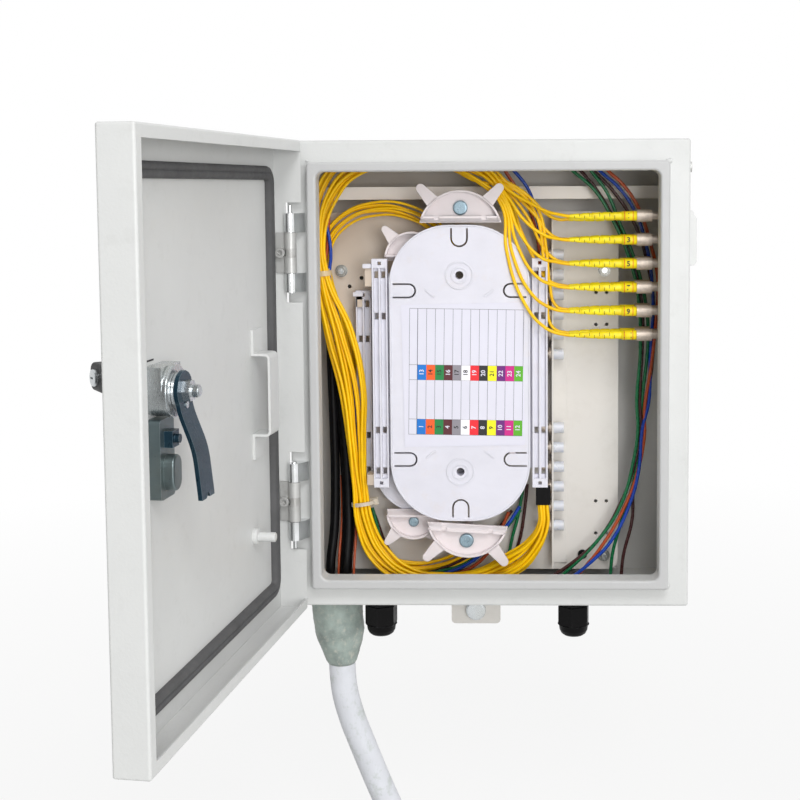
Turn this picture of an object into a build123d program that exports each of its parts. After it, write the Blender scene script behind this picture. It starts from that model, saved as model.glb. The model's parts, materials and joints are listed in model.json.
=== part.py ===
from build123d import *
from math import pi, radians, tan
import os

# All sizes are in millimetres. Case coordinates run x from the case's left side, y from its
# front flange back into the case, and z from its underside. The door is drawn closed in the
# same coordinates, and opened about its hinge pins at the end.

# Case, folded from sheet steel
CASE_W = 340.0
CASE_H = 400.0
CASE_D = 112.0
SHEET = 1.5
BEND = 2.2
RIM_W = 18.5
LIP_W = 8.0
LIP_OUT = 14.5
LIP_IN = 5.0
LIP_CORNER = 6.0
BACK = CASE_D - SHEET

# Door pan
DOOR_T = 25.2
DOOR_GAP = 1.7
DOOR_RETURN = 9.2
DOOR_OPEN = 97.4
DOOR_FRONT = -(DOOR_GAP + DOOR_T)
DOOR_INSIDE = DOOR_FRONT + SHEET
GASKET_W = 12.0
GASKET_GAP = 0.4
GASKET_INSET = RIM_W + LIP_W / 2 - GASKET_W / 2

# Hinges
PIN_X = 4.2
PIN_Y = -10.7
PIN_R = 2.5
KNUCKLE_R = 4.2
FIT = 0.06
HINGE_INSET = 94.0
KNUCKLE_H = 15.8
BARREL_H = 34.0
HINGE_AXIAL = 0.3
LEAF_REACH = 13.0
LEAF_T = 2.0

# Mounting plate, cross rail and the posts behind the plate
PLATE_X0 = 22.0
PLATE_X1 = CASE_W - 54.0
PLATE_Z0 = 9.5
PLATE_Z1 = CASE_H - 62.0
PLATE_Y = 80.0
PLATE_T = 2.0
PLATE_CORNER = 9.0
POST_INSET = 13.0
POST_R = 4.5
STUD_R = 2.5
HIGH_POST_DROP = 53.0
RAIL_Z = CASE_H - 45.0
RAIL_H = 11.4
RAIL_D = 18.0
RAIL_Y = 76.0

# Adapter panels and the plug row
PANEL_X = CASE_W - 115.0
PANEL_T = 1.5
PANEL_Y0 = 58.0
PANEL_Z0 = 16.0
PANEL_Z1 = CASE_H - 63.0
CAP_Z0 = 53.6
CAP_PITCH = 17.9
CAP_GROUP = 6
CAP_GROUP_STEP = 156.4
CAP_Y = 68.0
CAP_R = 4.8
CAP_L = 9.5
ADAPTER_R = 3.4
ADAPTER_L = 10.0
FLANGE_R = 6.3
FLANGE_T = 2.0
PLUG_PANEL_GAP = 17.5
PLUG_Z0 = 231.6
PLUG_PITCH = 20.64
PLUG_ROWS = 6
PLUG_YS = (28.0, 48.0)
NUT_R = 5.3
NUT_L = 13.0
SLEEVE_R = 4.2
SLEEVE_L = 12.8
BOOT_L = 45.0
BOOT_TIP_R = 1.6
THREAD_SHOWN = 12.0

# Splice trays, fibre guides and label card
TRAY_T = 11.0
TRAY_WALL = 2.0
TRAY_FRONT_Y = 36.0
TRAY_W = 123.0
TRAY_H = 262.0
TRAY_CORNER = 52.0
TRAY_X = 143.8
TRAY_Z = 196.5
REAR_W = 84.0
REAR_H = 226.0
REAR_X = 107.6
REAR_Z = 181.0
REAR_Y = 57.0
CHANNEL_W = 13.5
CHANNEL_H = 203.0
CHANNEL_GAP = 2.0
HUB_OFFSET = 87.0
HUB_R = 3.6
HUB_RING_R = 12.5
TAB_W = 12.0
TAB_L = 19.0
TAB_SLIT = 1.2
TRAY_POST_R = 4.0
CLIP_X = 60.6
GUIDE_R = 31.7
REAR_GUIDE_R = 23.4
GUIDE_FRONT_Y = 28.0
GUIDE_REAR_Y = TRAY_FRONT_Y + TRAY_T + 0.3
GUIDE_RIM = 2.0
GUIDE_DEPTH = 9.0
GUIDE_POST_R = 6.0
GUIDE_ABOVE = 3.5
GUIDE_BELOW = 5.5
REAR_GUIDE_ABOVE = 4.0
REAR_GUIDE_IN = 1.0
EAR_L = 20.0
CARD_W = 106.0
CARD_H = 126.0
CARD_T = 0.6
CARD_TURN = 1.0

# Cable glands, seal and conduit
GLAND_XS = (72.3, CASE_W - 96.6)
GLAND_Y = 36.0
GLAND_FLATS = 25.6
GLAND_TURN = 22.0
GLAND_H = 36.4
GLAND_BORE = 7.0
GLAND_HEX_H = 9.0
GLAND_DOME_H = 9.4
GLAND_THREAD_R = 10.0
LOCKNUT_T = 5.0
CONDUIT_R = 12.0
CONDUIT_X = 30.5
CONDUIT_Y = 50.0
SEAL_H = 68.0
SEAL_RISE = 5.5
SEAL_TOP_R = 24.5
COUPLER_R = 15.5
COUPLER_L = 26.0

# Mounting strap on the back
STRAP_X = 154.2
STRAP_W = 46.7
STRAP_T = 4.0
STRAP_STAND = 10.0
STRAP_DROP = 56.0
STRAP_TOP = 340.0
WALL_STUD_R = 5.0
WALL_STUD_L = 25.0
WALL_STUD_LOW = -42.0
WALL_STUD_SPAN = 360.0
WALL_HOLE_R = 6.4
PAD_ZS = (45.0, 255.0)
PAD_R = 12.0
PAD_BOLT_R = 4.0

# Lock, in the closed door's place
LOCK_X = CASE_W - 74.0
LOCK_Z = 229.5
SPINDLE_R = 6.0
NECK_R = 4.0
HOUSING_R = 16.8
HOUSING_H = 16.5
DISC_R = 12.0
DISC_T = 2.2
CAM_T = 3.0
CAM_W = 22.0
CAM_L = 67.0
CAM_OFFSET = 13.0
PLATE_LOCK_T = 3.0
PLATE_LOCK_W = 32.0
PLATE_LOCK_UP = 22.0
PLATE_LOCK_DOWN = 92.0
HEAD_R = 11.0
HEAD_H = 14.8
HANDLE_L = 82.0
HANDLE_W = 20.0
HANDLE_T = 9.0
HANDLE_PIN_R = 2.0
HANDLE_SWING = 41.0
BUTTON_R = 6.0
BUTTON_AT = 68.0
SLOT_HALF = 4.1
CLAMP_H = 9.0

# Rain hood, vent slots and hole plug in the right side
VENT_Y0 = 24.0
VENT_D = 52.0
VENT_Z1 = CASE_H - 61.0
VENT_Z0 = VENT_Z1 - 47.0
VENT_OUT = 8.5
VENT_SLOTS = 4
SIDE_PLUG_Z = CASE_H - 23.5

# Omega strap and earth stud inside the door
HAT_X = 57.0
HAT_W = 22.0
HAT_H = 15.5
HAT_T = 2.0
HAT_Z0 = 161.5
HAT_Z1 = 228.5
HAT_FOOT = 19.0
EARTH_X = 68.0
EARTH_Z = 80.0
EARTH_R = 3.9
EARTH_L = 18.0
EARTH_COLLAR_R = 6.7
EARTH_COLLAR_H = 4.0

# Radii of the cables, fibres and their bundles
LOOP_R = 7.0
INNER_R = 3.5
TUBES_R = 5.0
TUBES_MIDDLE_R = 3.0
TUBES_FLOOR_R = 3.5
TRUNK_R = 5.2
FIBRE_R = 1.5

ORIGIN = Vector(STRAP_X, CASE_D + STRAP_STAND + STRAP_T, WALL_STUD_LOW + WALL_STUD_SPAN / 2)

os.makedirs("parts", exist_ok=True)


def block(x0, x1, y0, y1, z0, z1):
    return Pos((x0 + x1) / 2, (y0 + y1) / 2, (z0 + z1) / 2) * Box(x1 - x0, y1 - y0, z1 - z0)


def rod_x(y, z, r, x0, x1):
    return Pos((x0 + x1) / 2, y, z) * Rot(0, 90, 0) * Cylinder(r, x1 - x0)


def rod_y(x, z, r, y0, y1):
    return Pos(x, (y0 + y1) / 2, z) * Rot(90, 0, 0) * Cylinder(r, y1 - y0)


def rod_z(x, y, r, z0, z1):
    return Pos(x, y, (z0 + z1) / 2) * Cylinder(r, z1 - z0)


def slab(sketch, y0, y1):
    """A sketch drawn in x and z, as seen from the front, made solid from y0 to y1."""
    front = Plane(origin=(0, y1, 0), x_dir=(1, 0, 0), z_dir=(0, -1, 0))
    return extrude(front * sketch, amount=y1 - y0)


def ring(inset_out, r_out, inset_in, r_in, y0, y1):
    """A frame round the front opening, between two insets from the case's outline."""
    middle = Pos(CASE_W / 2, CASE_H / 2)
    outer = RectangleRounded(CASE_W - 2 * inset_out, CASE_H - 2 * inset_out, r_out)
    inner = RectangleRounded(CASE_W - 2 * inset_in, CASE_H - 2 * inset_in, r_in)
    return slab(middle * (outer - inner), y0, y1)


def emit(name, *shapes):
    solids = []
    for shape in shapes:
        solids.extend((Pos(-ORIGIN.X, -ORIGIN.Y, -ORIGIN.Z) * shape).solids())
    body = solids[0] if len(solids) == 1 else Compound(children=solids)
    export_step(body, f"parts/{name}.step")


def opened(shape):
    return shape.rotate(Axis((PIN_X, PIN_Y, 0), (0, 0, 1)), -DOOR_OPEN)


def hexagon(x, z, across, y0, y1):
    return slab(Pos(x, z) * RegularPolygon(across / 2, 6, major_radius=False), y0, y1)


# Case, mitred at the corners of its flange, with a separate back
def case_shell():
    shell = bent_shell()
    deep = RIM_W + LIP_W + 2
    parts = []
    corners = [(0, 0), (CASE_W, 0), (CASE_W, CASE_H), (0, CASE_H)]
    inner = [(deep, deep), (CASE_W - deep, deep), (CASE_W - deep, CASE_H - deep), (deep, CASE_H - deep)]
    for i in range(4):
        j = (i + 1) % 4
        side = make_face(Polyline(corners[i], corners[j], inner[j], inner[i], close=True))
        parts.append(shell & slab(side, -LIP_OUT - 1, BACK))
    parts.append(shell & block(0, CASE_W, BACK, CASE_D, 0, CASE_H))
    return parts


def bent_shell():
    tub = fillet(block(0, CASE_W, 0, CASE_D, 0, CASE_H).edges(), BEND)
    tub -= block(SHEET, CASE_W - SHEET, SHEET, BACK, SHEET, CASE_H - SHEET)
    inner_w = CASE_W - 2 * RIM_W
    inner_h = CASE_H - 2 * RIM_W
    mouth = Pos(CASE_W / 2, CASE_H / 2) * RectangleRounded(inner_w, inner_h, LIP_CORNER / 2)
    tub -= slab(mouth, -1, SHEET + 1)
    lip = ring(RIM_W, LIP_CORNER / 2, RIM_W + LIP_W, LIP_CORNER, -LIP_OUT, LIP_IN)
    lip = fillet(lip.edges().filter_by_position(Axis.Y, -LIP_OUT - 0.01, -LIP_OUT + 0.01), SHEET * 1.25)
    groove = RIM_W + LIP_W - SHEET
    lip -= ring(RIM_W + SHEET, LIP_CORNER / 2, groove, LIP_CORNER + SHEET / 2, SHEET - LIP_OUT, LIP_IN + 1)
    lip -= ring(RIM_W - 1, LIP_CORNER / 2, RIM_W + SHEET + 0.01, LIP_CORNER / 2, SHEET, LIP_IN + 1)
    shell = tub + lip
    shell -= rod_z(CONDUIT_X, CONDUIT_Y, SEAL_TOP_R - 6, -1, SHEET + 1)
    for x in GLAND_XS:
        shell -= rod_z(x, GLAND_Y, GLAND_THREAD_R + 0.3, -1, SHEET + 1)
    for z in PAD_ZS:
        shell -= rod_y(STRAP_X, z, PAD_BOLT_R + 0.2, BACK - 1, CASE_D + 1)
    for z in vent_slot_zs():
        shell -= block(CASE_W - SHEET - 1, CASE_W + 1, VENT_Y0 + 6, VENT_Y0 + VENT_D - 6, z - 1.5, z + 1.5)
    return shell


# Rain hood over the vent slots in the right side
def vent_slot_zs():
    pitch = (VENT_Z1 - VENT_Z0 - 14) / (VENT_SLOTS - 1)
    return [VENT_Z0 + 7 + pitch * i for i in range(VENT_SLOTS)]


def side_vent():
    outline = Polyline(
        (CASE_W, VENT_Z1),
        (CASE_W + VENT_OUT * 0.55, VENT_Z1),
        (CASE_W + VENT_OUT, VENT_Z1 - 7),
        (CASE_W + VENT_OUT, VENT_Z0 + 3),
        (CASE_W + VENT_OUT - 2, VENT_Z0),
        (CASE_W, VENT_Z0),
        close=True,
    )
    hood = slab(make_face(outline), VENT_Y0, VENT_Y0 + VENT_D)
    y1 = VENT_Y0 + VENT_D - SHEET
    x1 = CASE_W + VENT_OUT - 3.2
    return hood - block(CASE_W - 1, x1, VENT_Y0 + SHEET, y1, VENT_Z0 - 1, VENT_Z1 - SHEET)


def side_plug():
    return rod_x(30, SIDE_PLUG_Z, 4.6, CASE_W, CASE_W + 4.5)


# Door
def hinge_centres():
    return (HINGE_INSET, CASE_H - HINGE_INSET)


def hinge_half():
    return BARREL_H / 2 + HINGE_AXIAL + KNUCKLE_H


def door_panel():
    pan = fillet(block(0, CASE_W, DOOR_FRONT, -DOOR_GAP, 0, CASE_H).edges(), SHEET * 1.2)
    fold = -DOOR_GAP - SHEET
    pan -= block(SHEET, CASE_W - SHEET, DOOR_INSIDE, fold, SHEET, CASE_H - SHEET)
    pan -= block(SHEET, CASE_W - DOOR_RETURN, fold - 1, 0, DOOR_RETURN, CASE_H - DOOR_RETURN)
    for z in hinge_centres():
        notch = hinge_half() + 9
        pan -= block(-1, SHEET + 0.1, PIN_Y - KNUCKLE_R - 0.8, 0, z - notch, z + notch)
    pan -= rod_y(LOCK_X, LOCK_Z, SPINDLE_R + 3, DOOR_FRONT - 1, DOOR_INSIDE + 1)
    for z in hinge_centres():
        pan -= rod_x(leaf_screw_y(), z, 2.6, -1, SHEET + 1)
    return pan


def door_gasket():
    foam_top = -LIP_OUT - GASKET_GAP
    return ring(GASKET_INSET, 14, GASKET_INSET + GASKET_W, 5, DOOR_INSIDE, foam_top)


def hat_bracket():
    """Omega strap welded to the door by its two feet, open from side to side."""
    top = DOOR_INSIDE + HAT_H
    z0 = HAT_Z0 - HAT_FOOT
    z1 = HAT_Z1 + HAT_FOOT
    x0 = HAT_X - HAT_W / 2
    x1 = HAT_X + HAT_W / 2
    feet = block(x0, x1, DOOR_INSIDE, DOOR_INSIDE + HAT_T, z0, z1)
    bridge = block(x0, x1, DOOR_INSIDE, top, HAT_Z0, HAT_Z1)
    bridge = fillet(bridge.edges().filter_by(Axis.X).group_by(Axis.Y)[-1], 4.5)
    inner = block(x0 - 1, x1 + 1, DOOR_INSIDE - 1, top - HAT_T, HAT_Z0 + HAT_T, HAT_Z1 - HAT_T)
    inner = fillet(inner.edges().filter_by(Axis.X).group_by(Axis.Y)[-1], 2.5)
    return feet + bridge - inner


def earth_stud():
    collar = rod_y(EARTH_X, EARTH_Z, EARTH_COLLAR_R, DOOR_INSIDE, DOOR_INSIDE + EARTH_COLLAR_H)
    stud = rod_y(EARTH_X, EARTH_Z, EARTH_R, DOOR_INSIDE, DOOR_INSIDE + EARTH_L)
    return collar + chamfer(stud.edges().group_by(Axis.Y)[-1], 0.8)


# Hinges: two knuckles and the pin on the case, barrel and leaf on the door
def leaf_screw_y():
    return PIN_Y - LEAF_REACH + 4.5


def knuckle(z0, z1):
    pad = Pos(PIN_X + 5.6, -1.2) * Rectangle(11.2, 2.4)
    ear = Pos(PIN_X, PIN_Y) * Circle(KNUCKLE_R)
    outline = make_hull([*pad.edges(), *ear.edges()])
    outline -= Pos(PIN_X, PIN_Y) * Circle(PIN_R + FIT / 2)
    return Pos(0, 0, z0) * extrude(outline, amount=z1 - z0, dir=(0, 0, 1))


def hinge_knuckles():
    parts = []
    for z in hinge_centres():
        near = BARREL_H / 2 + HINGE_AXIAL
        parts.append(knuckle(z + near, z + near + KNUCKLE_H))
        parts.append(knuckle(z - near - KNUCKLE_H, z - near))
    return parts


def hinge_pins():
    pins = []
    for z in hinge_centres():
        pin = rod_z(PIN_X, PIN_Y, PIN_R, z - hinge_half() - 7, z + hinge_half())
        pin += rod_z(PIN_X, PIN_Y, PIN_R + 1.2, z + hinge_half(), z + hinge_half() + 3.5)
        pins.append(pin)
    return pins


def hinge_leaves():
    leaves = []
    for z in hinge_centres():
        z0 = z - BARREL_H / 2
        z1 = z + BARREL_H / 2
        barrel = rod_z(PIN_X, PIN_Y, KNUCKLE_R, z0, z1)
        leaf = block(SHEET, SHEET + LEAF_T, PIN_Y - LEAF_REACH, PIN_Y, z0, z1)
        leaf = barrel + leaf - rod_z(PIN_X, PIN_Y, PIN_R + FIT, z0 - 1, z1 + 1)
        leaves.append(leaf - rod_x(leaf_screw_y(), z, 2.6, 0, SHEET + LEAF_T + 1))
    return leaves


def hinge_screws():
    screws = []
    for z in hinge_centres():
        head_x = SHEET + LEAF_T
        screw = rod_x(leaf_screw_y(), z, 2.5, 0.1, head_x)
        screw += rod_x(leaf_screw_y(), z, 4.2, head_x, head_x + 4.5)
        hollow = Pos(head_x + 4.5, leaf_screw_y(), z) * Rot(0, 90, 0) * extrude(
            RegularPolygon(2.0, 6, major_radius=False), amount=-3
        )
        screws.append(screw - hollow)
    return screws


# Lock
def lock_plate():
    z0 = LOCK_Z - PLATE_LOCK_DOWN
    z1 = LOCK_Z + PLATE_LOCK_UP
    face = Pos(LOCK_X, (z0 + z1) / 2) * RectangleRounded(PLATE_LOCK_W, z1 - z0, PLATE_LOCK_W / 2 - 0.5)
    plate = slab(face, DOOR_FRONT - PLATE_LOCK_T, DOOR_FRONT)
    plate = chamfer(plate.edges().group_by(Axis.Y)[0], 0.8)
    return plate - rod_y(LOCK_X, LOCK_Z, SPINDLE_R + FIT, DOOR_FRONT - PLATE_LOCK_T - 1, DOOR_FRONT + 1)


def lock_housing():
    end = DOOR_INSIDE + HOUSING_H
    cup = rod_y(LOCK_X, LOCK_Z, HOUSING_R, DOOR_INSIDE, end)
    cup += rod_y(LOCK_X, LOCK_Z, HOUSING_R + 0.9, end - 3.2, end - 1.2)
    cup += block(LOCK_X - HOUSING_R, LOCK_X + HOUSING_R, DOOR_INSIDE, end - 4, LOCK_Z, LOCK_Z + HOUSING_R)
    return cup - rod_y(LOCK_X, LOCK_Z, SPINDLE_R + FIT, DOOR_INSIDE - 1, end + 1)


def lock_stack():
    """Where each piece on the spindle's inner end starts, from the housing outwards."""
    shoulder = DOOR_INSIDE + HOUSING_H + 0.3
    disc_end = shoulder + DISC_T
    cam_end = disc_end + CAM_T
    return shoulder, disc_end, cam_end


def lock_spindle():
    shoulder, disc_end, cam_end = lock_stack()
    top = DOOR_FRONT - PLATE_LOCK_T - 0.3
    shaft = rod_y(LOCK_X, LOCK_Z, SPINDLE_R, top, shoulder)
    shaft += rod_y(LOCK_X, LOCK_Z, NECK_R, shoulder, cam_end + 6)
    shaft += rod_y(LOCK_X, LOCK_Z, 3.0, cam_end + 6, cam_end + 10.5)
    head = rod_y(LOCK_X, LOCK_Z, HEAD_R, top - HEAD_H, top)
    head = fillet(head.edges().group_by(Axis.Y)[0], 1.5)
    low = LOCK_Z - SLOT_HALF
    slot = block(LOCK_X - 20, LOCK_X + 20, top - HEAD_H - 1, top - 3, low, LOCK_Z + SLOT_HALF)
    pin_hole = rod_z(LOCK_X, handle_pin_y(), HANDLE_PIN_R + FIT / 2, LOCK_Z - 20, LOCK_Z + 20)
    return shaft + head - slot - pin_hole


def handle_pin_y():
    return DOOR_FRONT - PLATE_LOCK_T - 0.3 - HEAD_H + 5.6


def handle_pin():
    return rod_z(LOCK_X, handle_pin_y(), HANDLE_PIN_R, LOCK_Z - HEAD_R + 1, LOCK_Z + HEAD_R - 1)


def cam_disc():
    shoulder, disc_end, cam_end = lock_stack()
    disc = rod_y(LOCK_X, LOCK_Z, DISC_R, shoulder, disc_end)
    return disc - rod_y(LOCK_X, LOCK_Z, NECK_R + FIT / 2, shoulder - 1, disc_end + 1)


def cam_rivet():
    shoulder, disc_end, cam_end = lock_stack()
    return rod_y(LOCK_X, LOCK_Z - 9.3, 2.3, cam_end, cam_end + 1.6)


def cam_lever():
    """Flat bar, cranked away from the door so that its tip passes behind the case's lip."""
    shoulder, disc_end, cam_end = lock_stack()
    knee = 17.0
    run = 14.0
    low = LOCK_Z - CAM_L
    side = Polyline(
        (disc_end, LOCK_Z + CAM_W),
        (disc_end, LOCK_Z - knee),
        (disc_end + CAM_OFFSET, LOCK_Z - knee - run),
        (disc_end + CAM_OFFSET, low - 5),
        (cam_end + CAM_OFFSET, low - 5),
        (cam_end + CAM_OFFSET, LOCK_Z - knee - run + 1),
        (cam_end, LOCK_Z - knee + 1),
        (cam_end, LOCK_Z + CAM_W),
        close=True,
    )
    profile = extrude(Plane.YZ * make_face(side), amount=CAM_W, both=True)
    bar = Pos(0, (LOCK_Z + low) / 2) * Rectangle(CAM_W, LOCK_Z - low)
    bar += Pos(0, LOCK_Z) * Circle(CAM_W / 2)
    bar -= Pos(0, low) * Rectangle(4, 5)
    bar -= Pos(0, LOCK_Z) * Circle(NECK_R + FIT / 2)
    return Pos(LOCK_X, 0, 0) * (profile & slab(bar, DOOR_INSIDE, BACK))


def cam_nuts():
    shoulder, disc_end, cam_end = lock_stack()
    nut = hexagon(LOCK_X, LOCK_Z, 13.0, cam_end, cam_end + 5)
    nut -= rod_y(LOCK_X, LOCK_Z, NECK_R + FIT / 2, cam_end - 1, cam_end + 6)
    end_nut = hexagon(LOCK_X, LOCK_Z, 8.0, cam_end + 6.5, cam_end + 9.5)
    end_nut -= rod_y(LOCK_X, LOCK_Z, 3.0 + FIT / 2, cam_end + 6, cam_end + 10)
    return nut, end_nut


def lock_clamp():
    case = block(LOCK_X - 12, LOCK_X + 12, DOOR_INSIDE, DOOR_INSIDE + CLAMP_H, LOCK_Z - 71, LOCK_Z - 18.2)
    return fillet(case.edges().filter_by(Axis.Y), 3)


def lock_tongue():
    side = Pos(LOCK_X, LOCK_Z - 54) * SlotOverall(24, 15, rotation=90)
    body = slab(side, DOOR_INSIDE + CLAMP_H, DOOR_INSIDE + CLAMP_H + 7)
    return fillet(body.edges().group_by(Axis.Y)[-1], 1.5)


def clamp_nut():
    base = DOOR_INSIDE + CLAMP_H
    nut = block(LOCK_X - 5.5, LOCK_X + 5.5, base, base + 6, LOCK_Z - 37, LOCK_Z - 26)
    return nut + rod_y(LOCK_X, LOCK_Z - 31.5, 3, base + 6, base + 9)


def handle_flat():
    """The grip as it lies along the door, before it is swung out about its cross pin."""
    y = handle_pin_y()
    lug = slab_z(Pos(LOCK_X, y) * Circle(5.0) + Pos(LOCK_X - 8, y) * Rectangle(16, 7), 7.8)
    x0 = LOCK_X - HANDLE_L
    x1 = LOCK_X - HEAD_R - 1.5
    grip = block(x0, x1, y - HANDLE_T / 2, y + HANDLE_T / 2, LOCK_Z - HANDLE_W / 2, LOCK_Z + HANDLE_W / 2)
    grip = fillet(grip.edges().filter_by(Axis.Y), 6.0)
    grip = fillet(grip.edges().group_by(Axis.Y)[0], 2.5)
    lug -= rod_z(LOCK_X, y, HANDLE_PIN_R + FIT, LOCK_Z - 6, LOCK_Z + 6)
    bore = rod_y(LOCK_X - BUTTON_AT, LOCK_Z, BUTTON_R + FIT, y - 10, y + 10)
    return grip + lug - bore


def slab_z(sketch, thick):
    return Pos(0, 0, LOCK_Z - thick / 2) * extrude(sketch, amount=thick, dir=(0, 0, 1))


def button_flat():
    y = handle_pin_y()
    barrel = rod_y(LOCK_X - BUTTON_AT, LOCK_Z, BUTTON_R, y - HANDLE_T / 2 - 2.8, y + HANDLE_T / 2 - 0.5)
    barrel = chamfer(barrel.edges().group_by(Axis.Y)[0], 0.7)
    x = LOCK_X - BUTTON_AT
    keyway = block(x - 3, x + 3, y - 20, y - HANDLE_T / 2 - 0.8, LOCK_Z - 0.7, LOCK_Z + 0.7)
    return barrel - keyway


def swung(shape):
    return shape.rotate(Axis((LOCK_X, handle_pin_y(), 0), (0, 0, 1)), HANDLE_SWING)


# Mounting plate, rail and posts
def post_places():
    xs = (PLATE_X0 + POST_INSET, PLATE_X1 - POST_INSET)
    zs = (PLATE_Z0 + POST_INSET, PLATE_Z1 - HIGH_POST_DROP)
    return [(x, z) for z in zs for x in xs]


def mounting_plate():
    face = Pos((PLATE_X0 + PLATE_X1) / 2, (PLATE_Z0 + PLATE_Z1) / 2) * RectangleRounded(
        PLATE_X1 - PLATE_X0, PLATE_Z1 - PLATE_Z0, PLATE_CORNER
    )
    for x, z in post_places():
        face -= Pos(x, z) * Circle(STUD_R + 0.3)
    for z in (PLATE_Z1 - 73.3, PLATE_Z1 - 102.5, PLATE_Z0 + 63.5, PLATE_Z0 + 33.5):
        for x in (PLATE_X1 - 20.3, PLATE_X1 - 10.6):
            face -= Pos(x, z) * Circle(1.6)
    for right, down in ((20.2, 67.3), (31.1, 59.6)):
        face -= Pos(PLATE_X0 + right, PLATE_Z1 - down) * Circle(1.8)
    return slab(face, PLATE_Y, PLATE_Y + PLATE_T)


def plate_posts():
    posts = []
    for x, z in post_places():
        post = rod_y(x, z, POST_R, PLATE_Y + PLATE_T, BACK)
        posts.append(post + rod_y(x, z, STUD_R, PLATE_Y - 7, PLATE_Y + PLATE_T))
    return posts


def plate_nuts():
    nuts = []
    for x, z in post_places():
        nut = hexagon(x, z, 8.0, PLATE_Y - 5.2, PLATE_Y - 1) + rod_y(x, z, 5.6, PLATE_Y - 1, PLATE_Y)
        nuts.append(nut - rod_y(x, z, STUD_R + FIT / 2, PLATE_Y - 8, PLATE_Y + 1))
    return nuts


def cross_rail():
    z0 = RAIL_Z - RAIL_H / 2
    z1 = RAIL_Z + RAIL_H / 2
    rail = block(SHEET, CASE_W - SHEET, RAIL_Y, RAIL_Y + RAIL_D, z0, z1)
    return rail - block(0, CASE_W, RAIL_Y + SHEET, RAIL_Y + RAIL_D + 1, z0 + SHEET, z1 - SHEET)


# Adapter panels, capped adapters and the plugs
def cap_zs():
    rows = []
    for first in (CAP_Z0, CAP_Z0 + CAP_GROUP_STEP):
        rows += [first + CAP_PITCH * i for i in range(CAP_GROUP)]
    return rows


def plug_zs():
    return [PLUG_Z0 + PLUG_PITCH * i for i in range(PLUG_ROWS)]


def plug_panel_x():
    return CASE_W - PLUG_PANEL_GAP


def adapter_panel():
    panel = block(PANEL_X, PANEL_X + PANEL_T, PANEL_Y0, PLATE_Y, PANEL_Z0, PANEL_Z1)
    panel += block(PANEL_X, PANEL_X + 14, PLATE_Y - PANEL_T, PLATE_Y, PANEL_Z0, PANEL_Z1)
    for z in cap_zs():
        panel -= rod_x(CAP_Y, z, ADAPTER_R + 0.05, PANEL_X - 1, PANEL_X + PANEL_T + 1)
    return panel


def capped_adapters():
    adapters = []
    for z in cap_zs():
        barrel = rod_x(CAP_Y, z, ADAPTER_R, PANEL_X - ADAPTER_L, PANEL_X + PANEL_T + 6)
        adapters.append(barrel + rod_x(CAP_Y, z, FLANGE_R, PANEL_X - FLANGE_T, PANEL_X))
    return adapters


def dust_caps():
    caps = []
    base = PANEL_X + PANEL_T
    for z in cap_zs():
        cap = rod_x(CAP_Y, z, CAP_R, base, base + CAP_L)
        caps.append(cap - rod_x(CAP_Y, z, ADAPTER_R + 0.05, base - 1, base + 6.2))
    return caps


def plug_panel():
    x = plug_panel_x()
    z0 = PLUG_Z0 - 14
    z1 = plug_zs()[-1] + 12
    panel = block(x, x + PANEL_T, PLUG_YS[0] - 14, PLATE_Y, z0, z1)
    panel += block(x, CASE_W - SHEET, PLATE_Y - PANEL_T, PLATE_Y, z0, z1)
    for z in plug_zs():
        for y in PLUG_YS:
            panel -= rod_x(y, z, ADAPTER_R + 0.05, x - 1, x + PANEL_T + 1)
    return panel


def plug_rows(make):
    return [make(y, z) for z in plug_zs() for y in PLUG_YS]


def plug_adapter(y, z):
    x = plug_panel_x()
    return rod_x(y, z, ADAPTER_R, x - THREAD_SHOWN, x + 9) + rod_x(y, z, FLANGE_R, x - FLANGE_T, x)


def plug_nut(y, z):
    x1 = plug_panel_x() - THREAD_SHOWN
    return rod_x(y, z, NUT_R, x1 - NUT_L, x1)


def plug_boot(y, z):
    x1 = plug_panel_x() - THREAD_SHOWN - NUT_L
    x0 = x1 - SLEEVE_L - BOOT_L
    knee = x1 - SLEEVE_L
    outline = Polyline(
        (x0, 0),
        (x0, BOOT_TIP_R),
        (x0 + BOOT_L * 0.55, 3.4),
        (knee, 3.5),
        (knee, SLEEVE_R),
        (x1, SLEEVE_R),
        (x1, 0),
        close=True,
    )
    return Pos(0, y, z) * revolve(make_face(outline), Axis.X)


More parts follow.
